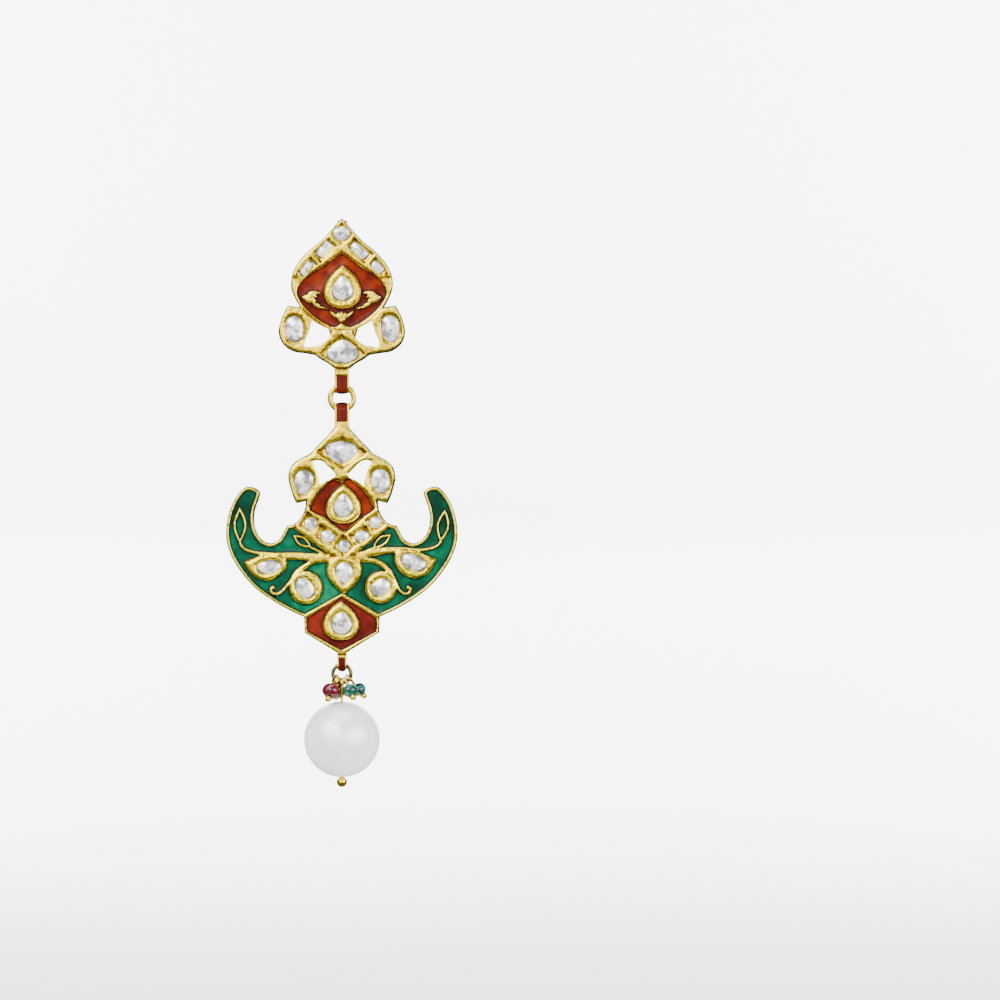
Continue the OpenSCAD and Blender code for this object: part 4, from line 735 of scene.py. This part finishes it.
# Painted shadow: a dark line round the stone's edge
from_middle = worked_out(tree, "VectorMath", "LENGTH", stone_map.outputs["UV"])
edged = mixed(tree, spread(tree, from_middle, 0.88, 1.0), dotted, (0.13, 0.12, 0.10))
tree.links.new(edged, shader.inputs["Base Color"])
relief(tree, clouds(tree, 1.1, 1), 0.25, 0.0001)
for body, name in STONES:
    stone = finished_piece(name + "_cut", cut_stone(name), diamond, FACET_FROM)
    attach(stone, body)
    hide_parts(name)

# Upper ring
# Round gold wire bent to a ring that joins the two bails and is soldered shut. It hangs loose
# in the bores.

# Radius of the wire, the sides round it and the steps round the ring
RING_WIRE = 0.37
WIRE_SIDES = 16
RING_STEPS = 64


def wire_ring(part, wire):
    """A closed ring of round wire in the XZ plane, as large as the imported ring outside."""
    low, high = (TO_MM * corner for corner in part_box(part))
    bm = bmesh.new()
    bmesh.ops.create_circle(bm, cap_ends=False, segments=WIRE_SIDES, radius=wire)
    bmesh.ops.translate(bm, verts=bm.verts, vec=((high.z - low.z) / 2 - wire, 0, 0))
    bmesh.ops.spin(bm, geom=bm.verts[:] + bm.edges[:], cent=(0, 0, 0), axis=(0, 1, 0),
                   angle=math.radians(360), steps=RING_STEPS, use_merge=True,
                   use_duplicate=False)
    bmesh.ops.translate(bm, verts=bm.verts, vec=(0, MID_Y, (low.z + high.z) / 2))
    bmesh.ops.remove_doubles(bm, verts=bm.verts, dist=WELD)
    bmesh.ops.recalc_face_normals(bm, faces=bm.faces)
    return bm


ring_gold = gold("Ring gold", hollow=(0.52, 0.34, 0.01), flat=(0.88, 0.63, 0.02),
                 ridge=(1.0, 0.80, 0.05), mottle=0.3, bump=0.2)
upper_ring = finished_piece("upper_wire_ring", wire_ring("upper_ring", RING_WIRE), ring_gold,
                            SMOOTH)
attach(upper_ring, "ring")
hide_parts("upper_ring")

# Lower ring and the pins
# Thinner wire. The ring's has gone dull and olive with age, and the pins are polished gold. The
# pearl's pin ends in an eye above and a bright ball below, and each small bead hangs on a pin of
# its own.
LOW_WIRE = 0.28
PIN_GRAIN = 0.04
PIN_SOFTENING = 1
# What rubbing takes off a pin's radius
PIN_GAIN = 0.05
old_gold = gold("Old gold", hollow=(0.05, 0.038, 0.014), flat=(0.13, 0.10, 0.04),
                ridge=(0.30, 0.24, 0.10), mottle=0.8, bump=0.5)
lower_ring = finished_piece("lower_wire_ring", wire_ring("lower_ring", LOW_WIRE), old_gold,
                            SMOOTH)
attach(lower_ring, "lower_ring")
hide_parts("lower_ring")


def drawn_full(bm):
    """Brings a rubbed wire back to its drawn thickness."""
    bm.normal_update()
    for v in bm.verts:
        v.co += v.normal * PIN_GAIN
    return bm


for pin, body in (("pearl_pin", "pearl"), ("ruby_front_pin", "lower_ring"),
                  ("ruby_rear_pin", "lower_ring"), ("emerald_front_pin", "lower_ring"),
                  ("emerald_rear_pin", "lower_ring")):
    wire = drawn_full(rubbed_skin(blank_of(pin), PIN_GRAIN, PIN_SOFTENING))
    piece = finished_piece(pin + "_wire", wire, polished_gold, SMOOTH)
    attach(piece, body)
    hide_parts(pin)

# Pearl
# A large white pearl with a soft sheen, drilled through for its pin. Its skin is smooth but
# its light comes from within, so the highlights are broad.

# Radius of the bore, the steps round the pearl and the rows from end to end, and the degrees
# past which the bore's edge shows as sharp
PEARL_BORE = 0.17
PEARL_STEPS = 96
PEARL_ROWS = 64
BORE_EDGE = 60
nacre, tree, shader = new_finish("Nacre", {
    "Metallic": 0.32, "Roughness": 0.40, "Coat Weight": 0.6, "Coat Roughness": 0.14})
tint = mixed(tree, spread(tree, clouds(tree, 4.5, 2), 0.35, 0.65), (0.91, 0.985, 0.90),
             (0.96, 0.99, 0.94))
# Painted shade: the colour turns darker and olive towards the edge as the pearl is seen
facing = tree.nodes.new("ShaderNodeLayerWeight")
rim_shaded = mixed(tree, spread(tree, facing.outputs["Facing"], 0.45, 1.0), tint, (0.80, 0.83, 0.68))
tree.links.new(rim_shaded, shader.inputs["Base Color"])
relief(tree, clouds(tree, 1.6, 2), 0.06, 0.0001)


def drilled_ball(part, bore, steps, rows):
    """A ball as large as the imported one, turned with its bore along Z."""
    low, high = (TO_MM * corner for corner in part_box(part))
    radius = (high.x - low.x) / 2
    bm = bmesh.new()
    top = math.acos(bore / radius)
    chain = []
    for i in range(rows + 1):
        a = -top + 2 * top * i / rows
        chain.append(bm.verts.new((radius * math.cos(a), 0, radius * math.sin(a))))
    edges = [bm.edges.new(pair) for pair in zip(chain, chain[1:] + chain[:1])]
    bmesh.ops.spin(bm, geom=chain + edges, cent=(0, 0, 0), axis=(0, 0, 1),
                   angle=math.radians(360), steps=steps, use_merge=True, use_duplicate=False)
    bmesh.ops.remove_doubles(bm, verts=bm.verts, dist=WELD)
    bmesh.ops.recalc_face_normals(bm, faces=bm.faces)
    bmesh.ops.translate(bm, verts=bm.verts, vec=(low + high) / 2)
    return bm


ball = drilled_ball("pearl", PEARL_BORE, PEARL_STEPS, PEARL_ROWS)
pearl = finished_piece("pearl_ball", ball, nacre, BORE_EDGE)
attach(pearl, "pearl")
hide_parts("pearl")

# Ruby and emerald beads
# Small tumbled beads of clear crimson and blue-green stone, cloudy inside and not quite round.
# Each is drilled and threaded on its pin.
BEAD_GRAIN = 0.08
BEAD_SOFTENING = 2
TUMBLE_MARKS = [(1.5, 0.07), (0.6, 0.025)]


def tumbled(name):
    """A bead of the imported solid, rounded and made a little uneven."""
    bm = rubbed_skin(blank_of(name), BEAD_GRAIN, BEAD_SOFTENING)
    hand_worked(bm, TUMBLE_MARKS)
    return bm


def clear_stone(name, deep, body, pale):
    """A clear stone with a pale veil inside."""
    finish, tree, shader = new_finish(name, {
        "Roughness": 0.10, "IOR": 1.6, "Coat Weight": 0.3, "Coat Roughness": 0.05})
    veil = clouds(tree, 0.8, 3)
    lower_tone = mixed(tree, spread(tree, veil, 0.35, 0.52), deep, body)
    tree.links.new(mixed(tree, spread(tree, veil, 0.55, 0.72), lower_tone, pale),
                   shader.inputs["Base Color"])
    return finish


ruby = clear_stone("Ruby", deep=(0.03, 0.001, 0.004), body=(0.095, 0.002, 0.013),
                   pale=(0.20, 0.008, 0.04))
emerald = clear_stone("Emerald", deep=(0.0, 0.012, 0.013), body=(0.0, 0.050, 0.037),
                      pale=(0.012, 0.17, 0.12))
for name, finish, slot in (("ruby_front", ruby, "ruby"), ("ruby_rear", ruby, "ruby"),
                           ("emerald_front", emerald, "emerald"),
                           ("emerald_rear", emerald, "emerald")):
    bead = finished_piece(name + "_bead", tumbled(name), finish, SMOOTH)
    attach(bead, "lower_ring")
    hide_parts(name)

# Clip and back nut
# The clip is one bent wire that turns in the strap's two barrels. The nut is a pressed disc
# with two rolled scrolls that grip the post's notch.
CLIP_GRAIN = 0.09
NUT_GRAIN = 0.1
FITTING_SOFTENING = 2
clip = rubbed_skin(blank_of("omega_clip"), CLIP_GRAIN, FITTING_SOFTENING)
clip_wire = finished_piece("clip_wire", clip, polished_gold, SMOOTH)
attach(clip_wire, "omega")
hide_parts("omega_clip")
nut = rubbed_skin(blank_of("back_nut"), NUT_GRAIN, FITTING_SOFTENING)
back_nut = finished_piece("nut_disc", nut, polished_gold, SMOOTH)
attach(back_nut, "nut")
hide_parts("back_nut")

# Floor, light and camera
# The earring hangs over a pale floor that curves up into a pale wall, in soft light from large
# panels. The camera looks straight at the front from far away.

# The paper's line from the front of the floor to the top of the wall, Y and Z in metres
SWEEP_LINE = [(-1.6, -0.10), (0.50, -0.10), (0.60, -0.085), (0.68, -0.04), (0.73, 0.04),
              (0.75, 0.14), (0.75, 1.4)]
SWEEP_WIDTH = 3
paper, tree, shader = new_finish("Paper", {"Roughness": 0.9})
tree.links.new(mixed(tree, clouds(tree, 60, 2), (0.90, 0.90, 0.90), (0.93, 0.93, 0.93)),
               shader.inputs["Base Color"])
bm = bmesh.new()
line = [bm.verts.new((-SWEEP_WIDTH / 2, y, z)) for y, z in SWEEP_LINE]
strip = [bm.edges.new(pair) for pair in zip(line, line[1:])]
swept = bmesh.ops.extrude_edge_only(bm, edges=strip)
bmesh.ops.translate(bm, vec=(SWEEP_WIDTH, 0, 0),
                    verts=[v for v in swept["geom"] if isinstance(v, bmesh.types.BMVert)])
bmesh.ops.recalc_face_normals(bm, faces=bm.faces)
sweep_mesh = bpy.data.meshes.new("paper_sweep")
bm.to_mesh(sweep_mesh)
bm.free()
sweep_mesh.shade_smooth()
sweep_mesh.materials.append(paper)
sweep = put_down("paper_sweep", sweep_mesh)
sweep.visible_glossy = False

# Light panels: name, place, aim, width and power. The height is a share of the width
PANEL_HEIGHT = 0.7
MIDDLE = (0, 0, -0.033)
WALL = (0.02, 0.75, -0.03)
for name, place, aim, width, power in (
        ("key", (-0.34, -0.44, 0.34), MIDDLE, 0.55, 6.0),
        ("fill", (0.45, -0.40, 0.08), MIDDLE, 0.52, 3.9),
        ("top", (0.0, -0.10, 0.55), MIDDLE, 0.48, 3.0),
        ("front", (0.0, -1.40, 0.10), MIDDLE, 1.0, 3.0),
        ("glint", (-0.24, -1.30, 0.26), MIDDLE, 0.50, 2.8),
        ("left", (-0.80, -1.00, -0.12), MIDDLE, 1.0, 2.2),
        ("right", (0.80, -1.00, -0.12), MIDDLE, 1.0, 2.2),
        ("rear", (0.0, 0.62, 0.16), MIDDLE, 0.56, 3.0),
        ("wall_left", (-0.48, 0.28, 0.10), WALL, 0.30, 20),
        ("wall_right", (0.52, 0.28, 0.10), WALL, 0.30, 20)):
    lamp = bpy.data.lights.new(name, "AREA")
    lamp.shape = "RECTANGLE"
    lamp.size = width
    lamp.size_y = width * PANEL_HEIGHT
    lamp.energy = power
    panel = put_down(name, lamp)
    panel.location = place
    panel.rotation_euler = (Vector(aim) - Vector(place)).to_track_quat("-Z", "Y").to_euler()
    panel.visible_glossy = aim == MIDDLE
    panel.visible_camera = False
ROOM_COLOUR = (1.0, 0.98, 0.95, 1)
ROOM_LIGHT = 0.18
world = bpy.data.worlds.new("Studio")
world.use_nodes = True
world.node_tree.nodes["Background"].inputs["Color"].default_value = ROOM_COLOUR
world.node_tree.nodes["Background"].inputs["Strength"].default_value = ROOM_LIGHT
bpy.context.scene.world = world

# The photograph shows 140 mm across, with the post's axis left of its middle
VIEW_WIDTH = 0.140
VIEW_X = 0.0221
VIEW_Z = -0.0326
lens = bpy.data.cameras.new("camera")
lens.lens = 200
lens.sensor_width = 36
camera = put_down("camera", lens)
camera.location = (VIEW_X, -VIEW_WIDTH * lens.lens / lens.sensor_width, VIEW_Z)
camera.rotation_euler = (math.radians(90), 0, 0)
bpy.context.scene.camera = camera
